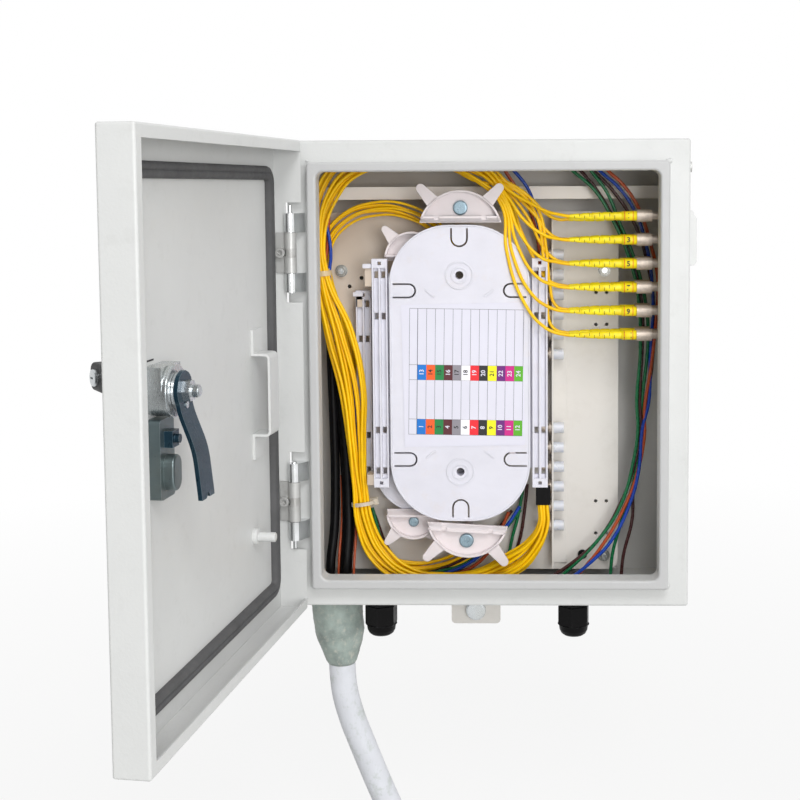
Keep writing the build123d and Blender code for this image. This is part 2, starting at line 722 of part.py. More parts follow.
# Splice trays
def tray(x, z, y, width, height, front):
    """A lid with round ends, two side channels and snap tabs cut free by thin slits."""
    corner = min(TRAY_CORNER, width / 2 - 1)
    main = Pos(x, z) * RectangleRounded(width, height, corner)
    skirt = Pos(x, z) * RectangleRounded(width - 2 * TRAY_WALL, height - 2 * TRAY_WALL, corner - TRAY_WALL)
    body = slab(main, y, y + TRAY_T) - slab(skirt, y + TRAY_WALL, y + TRAY_T + 1)
    hub_zs = (z + HUB_OFFSET * height / TRAY_H, z - HUB_OFFSET * height / TRAY_H)
    for side in (-1, 1) if front else (-1,):
        cx = x + side * (width / 2 + CHANNEL_GAP + CHANNEL_W / 2)
        length = CHANNEL_H * height / TRAY_H
        channel = slab(Pos(cx, z) * Rectangle(CHANNEL_W, length), y + 2, y + TRAY_T)
        channel -= slab(Pos(cx, z) * Rectangle(1.6, length + 1), y + 1, y + TRAY_T - 3)
        for row in (-0.25, 0.25):
            for column in (-0.28, 0.28):
                spot = Pos(cx + column * CHANNEL_W, z + row * length)
                channel -= slab(spot * Rectangle(3.4, 5.5), y - 1, y + TRAY_T - 2)
        near, far = sorted((cx, x + side * (width / 2 - TRAY_WALL)))
        reach = length * 0.42
        link = block(near, far, y + TRAY_T - TRAY_WALL, y + TRAY_T, z - reach, z + reach)
        body = body + channel + link
    if front:
        body -= snap_slit(x, z + height / 2, -90, y)
        body -= snap_slit(x, z - height / 2, 90, y)
        for tz in (z + 73.5, z - 76.0):
            body -= snap_slit(x - width / 2, tz, 0, y)
            body -= snap_slit(x + width / 2, tz, 180, y)
    for hz in hub_zs:
        body += rod_y(x, hz, HUB_RING_R, y + TRAY_WALL, y + TRAY_T)
        body -= rod_y(x, hz, HUB_R, y - 1, y + TRAY_T + 1)
    return body


def snap_slit(x, z, turn, y):
    """The thin U that frees a tab, open towards the edge of the lid at x, z."""
    loop = SlotOverall(2 * TAB_L, TAB_W) - SlotOverall(2 * (TAB_L - TAB_SLIT), TAB_W - 2 * TAB_SLIT)
    inside = Pos(TAB_L / 2 + TRAY_WALL + 1, 0) * Rectangle(TAB_L, 2 * TAB_W)
    return slab(Pos(x, z) * Rot(0, 0, turn) * (loop & inside), y - 1, y + TRAY_WALL + 0.5)


def tray_posts():
    posts = []
    for share in (0.28, -0.28):
        z = TRAY_Z + share * TRAY_H
        posts.append(rod_y(TRAY_X + 46, z, TRAY_POST_R, TRAY_FRONT_Y + TRAY_WALL, PLATE_Y))
    for dz in (0.3, -0.3):
        posts.append(rod_y(REAR_X, REAR_Z + dz * REAR_H * 0.5, TRAY_POST_R, REAR_Y + TRAY_WALL, PLATE_Y))
    return posts


def tray_clips():
    """Beige blocks that lock the trays' left tabs together."""
    clips = []
    x1 = TRAY_X - TRAY_W / 2 - CHANNEL_GAP - CHANNEL_W
    for low, high in ((77.2, 93.1), (-99.9, -90.5)):
        clips.append(block(CLIP_X, x1, TRAY_FRONT_Y + 4, REAR_Y, TRAY_Z + low, TRAY_Z + high))
    return clips


def label_card():
    card = slab(Rot(0, 0, CARD_TURN) * Rectangle(CARD_W, CARD_H), TRAY_FRONT_Y - CARD_T, TRAY_FRONT_Y)
    return Pos(TRAY_X + 2.8, 0, TRAY_Z - 0.8) * card


# Half-moon fibre guides
def fibre_guide(x, z, r, y, up):
    """A half-moon cup with its flat edge at z, two ears and a post back to the plate."""
    half = (Pos(x, z) * Circle(r)) & (Pos(x, z + up * r / 2) * Rectangle(2 * r, r))
    moon = slab(half, y, y + GUIDE_DEPTH)
    inside = Pos(x, z + up * (r + GUIDE_RIM) / 2) * Rectangle(2 * r, r - GUIDE_RIM)
    recess = (Pos(x, z) * Circle(r - GUIDE_RIM)) & inside
    moon -= slab(recess, y - 1, y + GUIDE_DEPTH - 3)
    for side in (-1, 1):
        angle = 90 + up * side * 42 if up > 0 else 270 + side * 42
        root = r * 0.8
        tip = r + EAR_L
        ear = make_face(Polyline((root, -6.5), (tip, -3.0), (tip, 3.0), (root, 6.5), close=True))
        wing = Pos(x, z) * Rot(0, 0, angle) * ear
        wing -= Pos(x, z) * Circle(r - GUIDE_RIM / 2)
        moon += slab(wing, y, y + 3)
    moon += rod_y(x, z + up * r * 0.36, GUIDE_POST_R, y + GUIDE_DEPTH - 3, PLATE_Y)
    return moon - rod_y(x, z + up * r * 0.36, 2.1, y - 1, y + 30)


def guide_places():
    front_z = (TRAY_Z + TRAY_H / 2 + GUIDE_ABOVE, TRAY_Z - TRAY_H / 2 - GUIDE_BELOW)
    rear_z = (REAR_Z + REAR_H / 2 + REAR_GUIDE_ABOVE, REAR_Z - REAR_H / 2 + REAR_GUIDE_IN)
    return {
        "guides_front": [
            (TRAY_X + 1.3, front_z[0], GUIDE_R, GUIDE_FRONT_Y, 1),
            (TRAY_X + 5.0, front_z[1], GUIDE_R, GUIDE_FRONT_Y, -1),
        ],
        "guides_rear": [
            (REAR_X - 6.4, rear_z[0], REAR_GUIDE_R, GUIDE_REAR_Y, 1),
            (REAR_X - 6.9, rear_z[1], REAR_GUIDE_R, GUIDE_REAR_Y, -1),
        ],
    }


def guide_screws():
    screws = []
    places = guide_places()
    for x, z, r, y, up in places["guides_front"] + places["guides_rear"]:
        floor = y + GUIDE_DEPTH - 3
        cz = z + up * r * 0.36
        head = rod_y(x, cz, 6.4 if r > 30 else 4.6, floor - 2.6, floor)
        head = fillet(head.edges().group_by(Axis.Y)[0], 1.6)
        for wide, tall in ((5.6, 1.3), (1.3, 5.6)):
            head -= block(x - wide / 2, x + wide / 2, floor - 4, floor - 1.4, cz - tall / 2, cz + tall / 2)
        screws.append(head + rod_y(x, cz, 2.05, floor, floor + 16))
    return screws


# Glands, seal, conduit
def gland_hex(x, z0, z1):
    outline = RegularPolygon(GLAND_FLATS / 2, 6, major_radius=False, rotation=GLAND_TURN)
    return Pos(x, GLAND_Y, z0) * extrude(outline, amount=z1 - z0, dir=(0, 0, 1))


def gland_body(x):
    body = gland_hex(x, -GLAND_HEX_H, 0)
    body += rod_z(x, GLAND_Y, GLAND_THREAD_R, 0, SHEET + LOCKNUT_T + 3)
    return body - rod_z(x, GLAND_Y, GLAND_BORE, -GLAND_HEX_H - 1, 20)


def gland_cap(x):
    """Hexagonal cap with its corners rounded off below and a domed end."""
    low = -GLAND_H
    knee = low + GLAND_DOME_H
    neck = -GLAND_HEX_H - 0.8
    rim = GLAND_FLATS / 2 + 2.0
    dome = Polyline(
        (GLAND_BORE, low),
        (GLAND_BORE + 2.0, low),
        (GLAND_BORE + 4.0, low + 1.6),
        (GLAND_BORE + 5.4, low + 4.4),
        (GLAND_BORE + 6.0, knee - 0.6),
        (rim - 0.8, knee),
        (rim, knee + 1.4),
        (rim, neck),
        (GLAND_THREAD_R + 1, neck),
        (GLAND_THREAD_R + 1, -GLAND_HEX_H),
        (GLAND_BORE, -GLAND_HEX_H),
        close=True,
    )
    turned = Pos(x, GLAND_Y, 0) * revolve(Plane.XZ * make_face(dome), Axis.Z)
    below = rod_z(x, GLAND_Y, rim + 5, low - 1, knee)
    return turned & (gland_hex(x, knee, -GLAND_HEX_H) + below)


def gland_locknut(x):
    nut = Pos(x, GLAND_Y, SHEET + LOCKNUT_T / 2) * extrude(
        RegularPolygon(13.0, 6, major_radius=False), amount=LOCKNUT_T / 2, both=True
    )
    return nut - rod_z(x, GLAND_Y, GLAND_THREAD_R + FIT / 2, 0, 20)


def cable_seal():
    """Foam seal round the conduit's mouth, wide under the case and narrowed to the conduit."""
    rings = (
        (0.0, SEAL_TOP_R, 0.0),
        (-0.34 * SEAL_H, SEAL_TOP_R - 1, 0.5),
        (-0.68 * SEAL_H, SEAL_TOP_R - 5.0, 1.8),
        (-SEAL_H, CONDUIT_R + 1.5, 4.1),
    )
    sections = [Pos(CONDUIT_X + dx, CONDUIT_Y, z) * Circle(r) for z, r, dx in rings]
    foam = loft(sections, ruled=True)
    foam += rod_z(CONDUIT_X, CONDUIT_Y, SEAL_TOP_R - 6.3, 0, SEAL_RISE)
    return foam - seal_bore()


CONDUIT_ROUTE = [
    (34.6, CONDUIT_Y, -55.0),
    (34.6, CONDUIT_Y, -85.0),
    (41.2, CONDUIT_Y + 3.0, -117.0),
    (53.8, CONDUIT_Y + 7.5, -153.0),
    (68.2, CONDUIT_Y + 11.0, -192.0),
    (80.6, CONDUIT_Y + 13.5, -222.0),
]


def seal_bore():
    x, y, z = CONDUIT_ROUTE[0]
    return rod_z(x, y, CONDUIT_R + FIT / 2, z - 2 * CONDUIT_R, z)


def route(points):
    """Straight runs joined by the largest arcs that they leave room for."""
    corners = [Vector(p) for p in points]
    radii = []
    for a, b, c in zip(corners, corners[1:], corners[2:]):
        turn = (b - a).get_angle(c - b)
        radii.append(0.45 * min((b - a).length, (c - b).length) / tan(radians(turn) / 2))
    return FilletPolyline(*corners, radius=radii), radii


def tube(name, points, r):
    path, radii = route(points)
    start = Plane(origin=path @ 0, z_dir=path % 0)
    body = sweep(start * Circle(r), path=path)
    share = body.volume / (pi * r * r * path.length)
    tightest = min(radii)
    print(f"{name}: length {path.length:.1f}, tightest {tightest / 2 / r:.1f} d, volume {share:.4f}")
    return body


def conduit():
    return tube("conduit", CONDUIT_ROUTE, CONDUIT_R)


def conduit_coupler():
    end = Vector(CONDUIT_ROUTE[-1])
    away = (end - Vector(CONDUIT_ROUTE[-2])).normalized()
    socket = extrude(Plane(origin=end, z_dir=away) * Circle(COUPLER_R), amount=COUPLER_L)
    return fillet(socket.edges().filter_by(GeomType.CIRCLE), 1.2)


# Mounting strap, its bolts and the two wall bolts
def wall_stud_zs():
    return (WALL_STUD_LOW, WALL_STUD_LOW + WALL_STUD_SPAN)


def mounting_strap():
    y0 = CASE_D + STRAP_STAND
    z0 = -STRAP_DROP
    face = Pos(STRAP_X, (z0 + STRAP_TOP) / 2) * RectangleRounded(STRAP_W, STRAP_TOP - z0, 4)
    for z in wall_stud_zs():
        face -= Pos(STRAP_X, z) * Circle(WALL_HOLE_R)
    strap = slab(face, y0, y0 + STRAP_T)
    for z in PAD_ZS:
        strap += rod_y(STRAP_X, z, PAD_R, CASE_D, y0)
        strap -= rod_y(STRAP_X, z, PAD_BOLT_R + FIT / 2, CASE_D - 1, y0)
    return strap


def strap_bolts():
    bolts = []
    for z in PAD_ZS:
        shank = rod_y(STRAP_X, z, PAD_BOLT_R, BACK, CASE_D + STRAP_STAND - 1)
        bolts.append(shank + hexagon(STRAP_X, z, 13.0, BACK - 5.3, BACK))
    return bolts


def wall_bolts():
    bolts = []
    y0 = CASE_D + STRAP_STAND
    for z in wall_stud_zs():
        head = rod_y(STRAP_X, z, 9.5, y0 - 6, y0)
        head = fillet(head.edges().group_by(Axis.Y)[0], 2.0)
        bolts.append(head + rod_y(STRAP_X, z, WALL_STUD_R, y0, y0 + STRAP_T + WALL_STUD_L))
    return bolts


# Cables and fibres that the box holds all the way, as plain bundles
FIBRE_LOOP = [
    (216.8, 44.0, 79.0),
    (216.8, 44.0, 61.0),
    (208.0, 45.0, 41.0),
    (188.0, 47.0, 22.5),
    (158.0, 50.0, 11.5),
    (124.0, 52.0, 9.2),
    (94.0, 52.0, 13.0),
    (71.0, 52.0, 30.0),
    (58.0, 51.0, 58.0),
    (53.0, 50.0, 94.0),
    (50.0, 49.5, 135.0),
    (47.5, 48.5, 182.0),
    (40.0, 47.0, 232.0),
    (26.5, 46.0, 274.0),
    (23.5, 45.0, 318.0),
    (33.0, 44.0, 356.0),
    (58.0, 43.0, 380.0),
    (98.0, 42.0, 384.0),
    (136.0, 42.0, 383.0),
    (166.0, 42.0, 375.0),
]
PIGTAIL_BENDS = [
    ((179.5, 306.0), (196.5, 262.0)),
    ((186.0, 301.0), (205.0, 267.0)),
    ((190.0, 310.0), (210.0, 282.5)),
    ((193.5, 319.0), (213.0, 299.5)),
    ((198.0, 331.0), (215.5, 319.0)),
    ((203.0, 345.0), (221.0, 337.5)),
]
INNER_LOOP = [
    (51.5, 76.2, 60.0),
    (49.5, 76.2, 98.0),
    (48.5, 76.0, 145.0),
    (47.0, 75.6, 195.0),
    (39.0, 73.5, 242.0),
    (27.5, 69.5, 284.0),
    (30.0, 67.0, 320.0),
    (47.0, 66.0, 342.0),
    (72.0, 66.0, 348.5),
    (98.0, 66.0, 343.0),
    (122.0, 68.0, 326.0),
    (137.0, 71.0, 300.0),
]
TUBES_RIGHT = [
    (256.0, 64.0, 381.0),
    (259.0, 64.0, 364.0),
    (268.0, 64.0, 344.0),
    (283.0, 65.0, 320.0),
    (294.0, 66.0, 285.0),
    (300.5, 66.0, 240.0),
    (305.5, 66.0, 190.0),
    (307.0, 66.0, 145.0),
    (302.0, 66.0, 105.0),
    (289.0, 65.0, 68.0),
    (266.0, 63.0, 33.0),
    (240.0, 60.0, 11.5),
    (212.0, 58.0, 6.8),
]
TUBES_MIDDLE = [
    (184.0, 62.0, 381.0),
    (188.5, 63.0, 365.0),
    (197.5, 67.5, 346.0),
    (206.5, 73.5, 325.0),
    (212.0, 76.5, 300.0),
    (213.5, 76.5, 270.0),
]
TUBES_FLOOR = [
    (61.0, 68.0, 64.0),
    (66.0, 68.0, 43.0),
    (79.0, 68.0, 20.0),
    (103.0, 67.5, 6.2),
    (134.0, 67.0, 5.6),
    (159.0, 66.0, 16.0),
    (180.0, 65.0, 36.0),
    (195.0, 64.0, 64.0),
]
TRUNKS = [
    [
        (25.0, 50.0, SEAL_RISE),
        (25.0, 50.0, 22.0),
        (27.0, 55.0, 50.0),
        (27.0, 62.0, 88.0),
        (26.5, 65.0, 130.0),
        (25.4, 66.0, 175.0),
        (23.4, 67.0, 220.0),
    ],
    [
        (37.5, 50.0, SEAL_RISE),
        (37.5, 50.0, 22.0),
        (39.8, 55.0, 48.0),
        (39.6, 62.0, 82.0),
        (38.8, 65.0, 120.0),
        (37.9, 66.0, 160.0),
        (36.4, 67.0, 200.0),
    ],
]


def pigtails():
    """The front row's six fibres, in two rows at the bundle's end and side by side past the ear."""
    end = Vector(FIBRE_LOOP[-1])
    along = (end - Vector(FIBRE_LOOP[-2])).normalized()
    side = Vector(-along.Z, 0, along.X)
    fan = Vector(185.5, 34, 350)
    fan_side = Vector(0.8, 0, 0.6)
    x1 = plug_panel_x() - THREAD_SHOWN - NUT_L - SLEEVE_L - BOOT_L
    y1 = PLUG_YS[0]
    strands = []
    for i, (z, (high, low)) in enumerate(zip(plug_zs(), PIGTAIL_BENDS)):
        start = end + side * (1.65 * i - 4.1) + Vector(0, 3.4 * (i % 2) - 1.7, 0)
        points = [
            tuple(start),
            tuple(start + along * 9),
            tuple(fan + fan_side * (3.3 * (i - 2.5))),
            (high[0], 32.0, high[1]),
            (low[0], 30.5, low[1]),
            (x1 - 11, y1 + 0.6, z + 0.8),
            (x1 - 5, y1, z),
            (x1, y1, z),
        ]
        strands.append(tube(f"pigtail {i + 1}", points, FIBRE_R))
    return strands


def fibre_sleeve():
    """Black boot that joins the bundle to the lower end of the front tray's right channel."""
    x, y, z = FIBRE_LOOP[0]
    return block(x - 6.5, x + 6.5, y - 5.5, TRAY_FRONT_Y + TRAY_T, z, TRAY_Z - CHANNEL_H / 2)


def cable_ties():
    """Flat bands round the bundle on the left, and a clear one round the bundle and a trunk."""
    ties = []
    for i in (13, 8):
        centre = Vector(FIBRE_LOOP[i]) * 0.5 + Vector(FIBRE_LOOP[i + 1]) * 0.5
        along = (Vector(FIBRE_LOOP[i + 1]) - Vector(FIBRE_LOOP[i])).normalized()
        plane = Plane(origin=centre, z_dir=along)
        band = Circle(LOOP_R + 1.2) - Circle(LOOP_R + 0.02)
        ties.append(extrude(plane * band, amount=2.0, both=True))
    return ties


# Case and what is fixed in it
emit("case_shell", *case_shell())
emit("side_vent", side_vent())
emit("side_plug", side_plug())
emit("mounting_plate", mounting_plate())
emit("plate_posts", *plate_posts())
emit("plate_nuts", *plate_nuts())
emit("cross_rail", cross_rail())
emit("adapter_panel", adapter_panel())
emit("capped_adapters", *capped_adapters())
emit("dust_caps", *dust_caps())
emit("plug_panel", plug_panel())
emit("plug_adapters", *plug_rows(plug_adapter))
emit("plug_nuts", *plug_rows(plug_nut))
emit("plug_boots", *plug_rows(plug_boot))
emit("splice_tray_front", tray(TRAY_X, TRAY_Z, TRAY_FRONT_Y, TRAY_W, TRAY_H, True))
emit("splice_tray_rear", tray(REAR_X, REAR_Z, REAR_Y, REAR_W, REAR_H, False))
emit("tray_posts", *tray_posts())
emit("tray_clips", *tray_clips())
emit("label_card", label_card())
for name, places in guide_places().items():
    emit(name, *[fibre_guide(*place) for place in places])
emit("guide_screws", *guide_screws())
emit("gland_bodies", *[gland_body(x) for x in GLAND_XS])
emit("gland_caps", *[gland_cap(x) for x in GLAND_XS])
emit("gland_locknuts", *[gland_locknut(x) for x in GLAND_XS])
emit("cable_seal", cable_seal())
emit("conduit", conduit())
emit("conduit_coupler", conduit_coupler())
emit("mounting_strap", mounting_strap())
emit("strap_bolts", *strap_bolts())
emit("wall_bolts", *wall_bolts())
emit("hinge_knuckles", *hinge_knuckles())
emit("hinge_pins", *hinge_pins())

# Cables and fibres
emit("fibre_bundle", tube("fibre_bundle", FIBRE_LOOP, LOOP_R))
emit("fibre_inner_loop", tube("fibre_inner_loop", INNER_LOOP, INNER_R))
emit("pigtails", *pigtails())
emit("fibre_sleeve", fibre_sleeve())
emit("tubes_right", tube("tubes_right", TUBES_RIGHT, TUBES_R))
emit("tubes_middle", tube("tubes_middle", TUBES_MIDDLE, TUBES_MIDDLE_R))
emit("tubes_floor", tube("tubes_floor", TUBES_FLOOR, TUBES_FLOOR_R))
emit("trunk_cables", *[tube("trunk", points, TRUNK_R) for points in TRUNKS])
emit("cable_ties", *cable_ties())

# Door and what is fixed to it
emit("door_panel", opened(door_panel()))
emit("door_gasket", opened(door_gasket()))
emit("hinge_leaves", *[opened(leaf) for leaf in hinge_leaves()])
emit("hinge_screws", *[opened(screw) for screw in hinge_screws()])
emit("hat_bracket", opened(hat_bracket()))
emit("earth_stud", opened(earth_stud()))
emit("lock_plate", opened(lock_plate()))
emit("lock_housing", opened(lock_housing()))
emit("lock_clamp", opened(lock_clamp()))
emit("lock_tongue", opened(lock_tongue()))
emit("clamp_nut", opened(clamp_nut()))

# What turns with the lock's spindle
emit("lock_spindle", opened(lock_spindle()))
emit("handle_pin", opened(handle_pin()))
emit("cam_disc", opened(cam_disc()))
emit("cam_lever", opened(cam_lever()))
emit("cam_fasteners", *[opened(piece) for piece in (cam_rivet(), *cam_nuts())])

# Handle and its push button
emit("handle", opened(swung(handle_flat())))
emit("lock_button", opened(swung(button_flat())))
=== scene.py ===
import json
from math import asin, cos, degrees, pi, radians, sin

import bmesh
import bpy
from mathutils import Matrix, Vector, geometry, noise


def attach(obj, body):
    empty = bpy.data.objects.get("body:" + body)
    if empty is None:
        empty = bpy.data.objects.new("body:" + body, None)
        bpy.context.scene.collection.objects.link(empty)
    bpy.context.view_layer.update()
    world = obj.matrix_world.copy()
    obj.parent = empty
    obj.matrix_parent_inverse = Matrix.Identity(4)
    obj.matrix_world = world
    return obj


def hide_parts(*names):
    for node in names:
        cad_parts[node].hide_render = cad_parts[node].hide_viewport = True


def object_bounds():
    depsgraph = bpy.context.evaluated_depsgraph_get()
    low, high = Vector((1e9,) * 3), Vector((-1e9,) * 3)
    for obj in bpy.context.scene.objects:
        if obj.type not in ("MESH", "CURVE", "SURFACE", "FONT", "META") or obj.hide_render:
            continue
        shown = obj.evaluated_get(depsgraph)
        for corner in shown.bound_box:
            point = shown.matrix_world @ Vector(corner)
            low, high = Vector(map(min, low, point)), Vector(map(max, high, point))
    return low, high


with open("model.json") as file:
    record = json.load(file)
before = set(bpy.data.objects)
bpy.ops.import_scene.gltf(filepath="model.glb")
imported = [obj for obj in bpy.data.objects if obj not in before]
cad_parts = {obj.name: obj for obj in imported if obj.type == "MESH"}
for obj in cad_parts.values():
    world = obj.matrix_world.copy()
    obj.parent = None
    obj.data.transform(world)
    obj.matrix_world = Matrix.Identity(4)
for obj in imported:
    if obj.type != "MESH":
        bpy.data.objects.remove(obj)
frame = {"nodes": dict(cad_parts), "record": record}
cad_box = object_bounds()

# Case coordinates in millimetres: x from the case's left side, y from its front back into it,
# z from its underside. The row's frame has its origin between the wall bolts.
ORIGIN = Vector((154.2, 126.0, 138.0))
CASE_H = 400.0
PIN = Vector((4.2, -10.7, 0.0))
OPEN = -97.4
LOCK_X = 266.0
LOCK_Z = 229.5
DOOR_INSIDE = -25.4


def at(x, y, z):
    return (Vector((x, y, z)) - ORIGIN) / 1000


def on_door(x, y, z):
    """A point of the closed door, where the open door has it."""
    turned = Matrix.Rotation(radians(OPEN), 3, "Z") @ (Vector((x, y, z)) - PIN)
    return at(*(turned + PIN))


def linear(rgb):
    return [((c / 255 + 0.055) / 1.055) ** 2.4 if c > 10 else c / 255 / 12.92 for c in rgb] + [1.0]


# Materials, by the names they are asked for
MATERIALS = {}


class Nodes:
    """The node tree of a material or a world, with short calls for the nodes used here."""

    def __init__(self, owner):
        owner.use_nodes = True
        self.owner = owner
        self.tree = owner.node_tree

    def put(self, node, values):
        """Sets or links a node's inputs, by their names or numbers."""
        for key, value in values.items():
            if isinstance(value, bpy.types.NodeSocket):
                self.tree.links.new(value, node.inputs[key])
            else:
                node.inputs[key].default_value = value

    def add(self, kind, values=None, **settings):
        node = self.tree.nodes.new(kind)
        for key, value in settings.items():
            setattr(node, key, value)
        self.put(node, values or {})
        return node

    def spread(self, value, low, high, to_low=0.0, to_high=1.0):
        limits = {"From Min": low, "From Max": high, "To Min": to_low, "To Max": to_high}
        return self.add("ShaderNodeMapRange", {"Value": value, **limits}).outputs["Result"]

    def maths(self, operation, *values, clamp=False):
        inputs = dict(enumerate(values))
        return self.add("ShaderNodeMath", inputs, operation=operation, use_clamp=clamp).outputs[0]

    def times(self, a, b):
        return self.maths("MULTIPLY", a, b)

    def xyz(self, vector):
        return self.add("ShaderNodeSeparateXYZ", {0: vector}).outputs

    def backdrop_rays(self):
        """1 for rays from the camera, through glass and off glossy surfaces, which see plain white."""
        rays = self.add("ShaderNodeLightPath").outputs
        seen = self.maths("MAXIMUM", rays["Is Camera Ray"], rays["Is Transmission Ray"])
        return self.maths("MAXIMUM", seen, rays["Is Glossy Ray"])

    def mix(self, share, a, b):
        return self.add("ShaderNodeMix", {0: share, 6: a, 7: b}, data_type="RGBA").outputs[2]

    def bump(self, height, depth, normal=None):
        values = {"Height": height, "Strength": 1.0, "Distance": depth}
        if normal:
            values["Normal"] = normal
        return self.add("ShaderNodeBump", values).outputs["Normal"]

    def rounded(self, radius):
        return self.add("ShaderNodeBevel", {"Radius": radius}, samples=4).outputs["Normal"]

    def edges(self, radius):
        """Near 1 within radius of a sharp edge, 0 elsewhere."""
        normals = {0: self.rounded(radius), 1: self.add("ShaderNodeNewGeometry").outputs["True Normal"]}
        alike = self.add("ShaderNodeVectorMath", normals, operation="DOT_PRODUCT")
        return self.spread(alike.outputs["Value"], 1.0, 0.93)


class Surface(Nodes):
    """A new material with its shader and the object's own coordinates."""

    def __init__(self, name):
        super().__init__(bpy.data.materials.new(name))
        MATERIALS[name] = self.owner
        self.shader = self.tree.nodes["Principled BSDF"]
        self.place = self.add("ShaderNodeTexCoord").outputs["Object"]

    def stretched(self, x, y, z):
        values = {"Vector": self.place, "Scale": (x, y, z)}
        return self.add("ShaderNodeMapping", values).outputs["Vector"]

    def noise(self, scale, detail=3.0, rough=0.55, where=None):
        values = {"Vector": where or self.place, "Scale": scale, "Detail": detail, "Roughness": rough}
        return self.add("ShaderNodeTexNoise", values).outputs["Fac"]

    def cells(self, scale):
        values = {"Vector": self.place, "Scale": scale}
        return self.add("ShaderNodeTexVoronoi", values).outputs["Distance"]

    def made(self, colour, rough, normal, others=None):
        """The material, with these values in its shader."""
        values = {"Base Color": colour, "Roughness": rough, "Normal": normal}
        self.put(self.shader, {**values, **(others or {})})
        return self.owner


def shades(colour, spread):
    dark = [max(0, c * (1 - spread)) for c in colour]
    light = [min(255, c * (1 + spread)) for c in colour]
    return linear(dark), linear(light)


def subsurface(weight, radius, scale):
    return {"Subsurface Weight": weight, "Subsurface Radius": radius, "Subsurface Scale": scale}


def finish(name, colour, rough, metal=0.0, spread=0.03, patch=18, grain=900, depth=0.02,
           stretch=(1, 1, 1), dirt=None, dirt_share=0.5, worn=None, edge=0.0, clear=0.0, soft=0.0,
           painted_shade=None, sheen=0.5):
    """A surface of one colour with patches, fine grain, and, where asked, dirt, worn edges and painted
    shade.

    Patch and grain are noise scales a metre, depth is the grain's in millimetres, edge a radius in metres.
    """
    n = Surface(name)
    dark, light = shades(colour, spread)
    paint = n.mix(n.spread(n.noise(patch, 4), 0.3, 0.7), dark, light)
    # painted_shade mixes a shade's colour into the paint where its mask says
    if painted_shade:
        paint = n.mix(painted_shade(n), paint, linear(painted_shade.colour))
    fine = n.noise(grain, 2, where=n.stretched(*stretch))
    if dirt:
        spots = n.times(n.spread(n.noise(patch * 3.1, 6, 0.7), 0.52, 0.72), dirt_share)
        paint = n.mix(spots, paint, linear(dirt))
    if worn:
        rubbed = n.times(n.edges(edge * 1.6), n.spread(n.noise(patch * 6, 4), 0.35, 0.6))
        paint = n.mix(rubbed, paint, linear(worn))
    uneven = n.spread(n.noise(patch * 5, 4), 0.25, 0.75, rough * 0.82, rough * 1.18)
    others = {"Metallic": metal, "Transmission Weight": clear, "Specular IOR Level": sheen}
    if soft:
        others.update(subsurface(soft, (1.0, 0.9, 0.8), 0.002))
    return n.made(paint, uneven, n.bump(fine, depth / 1000, n.rounded(edge) if edge else None), others)


class PaintedWarmShade:
    """Painted warm shade: a warmer, darker cast that stands in for shade and warm bounce light, and grows
    with the depth in the case and towards its upper left.
    """

    def __init__(self, colour, low, high, most):
        self.colour = colour
        self.low = low
        self.high = high
        self.most = most

    def __call__(self, n):
        place = n.xyz(n.place)
        deep = n.spread(place["Y"], self.low, self.high)
        corner = n.spread(n.maths("SUBTRACT", place["Z"], place["X"]), 0.0, 0.3, 0.25, 1.0)
        uneven = n.spread(n.noise(14, 3), 0.3, 0.7, 0.8, 1.0)
        return n.times(n.times(n.times(deep, corner), uneven), self.most)


def powder_paint(name, lip=False):
    """Light grey powder coat: fine orange peel, faint grime, and painted warm shade deep inside.

    With lip, the front of the rim round the opening, which stands out in front, is painted darker as shade.
    """
    n = Surface(name)
    dark, light = shades((208, 209, 208), 0.015)
    paint = n.mix(n.spread(n.noise(9, 4), 0.3, 0.7), dark, light)
    # Painted warm shade deep in the case, strongest towards its upper left
    warm_shade = PaintedWarmShade((204, 184, 160), -0.05, 0.0, 0.75)
    paint = n.mix(warm_shade(n), paint, linear(warm_shade.colour))
    if lip:
        # Painted shade on the front of the rim round the opening
        lip_shade = n.spread(n.xyz(n.place)["Y"], -0.139, -0.1402, 0.0, 0.7)
        paint = n.mix(lip_shade, paint, linear((176, 176, 177)))
    grime = n.times(n.spread(n.noise(60, 6, 0.7), 0.56, 0.8), 0.16)
    paint = n.mix(grime, paint, linear((150, 148, 142)))
    specks = n.spread(n.cells(160), 0.03, 0.012, 0.0, 0.35)
    paint = n.mix(specks, paint, linear((120, 116, 108)))
    rough = n.spread(n.noise(40, 4), 0.25, 0.75, 0.36, 0.5)
    peel = n.maths("ADD", n.noise(520, 1.5, 0.4), n.times(n.noise(1500, 1), 0.35))
    return n.made(paint, rough, n.bump(peel, 0.00008, n.rounded(0.0006)))


def zinc_plate(name, colour, gold, rough, rub=(225, 232, 236), metal_share=0.88):
    """Zinc plate with drawn grain, cloudy passivation and rubbed edges."""
    n = Surface(name)
    dark, light = shades(colour, 0.05)
    metal = n.mix(n.spread(n.noise(40, 3, 0.5), 0.35, 0.65), dark, light)
    metal = n.mix(n.times(n.spread(n.noise(30, 2), 0.5, 0.75), 0.3), metal, linear(gold))
    metal = n.mix(n.times(n.edges(0.0006), 0.5), metal, linear(rub))
    grain = n.noise(1800, 2, where=n.stretched(1, 1, 0.12))
    uneven = n.spread(grain, 0.2, 0.8, rough * 0.75, rough * 1.3)
    return n.made(metal, uneven, n.bump(grain, 0.000004), {"Metallic": metal_share})


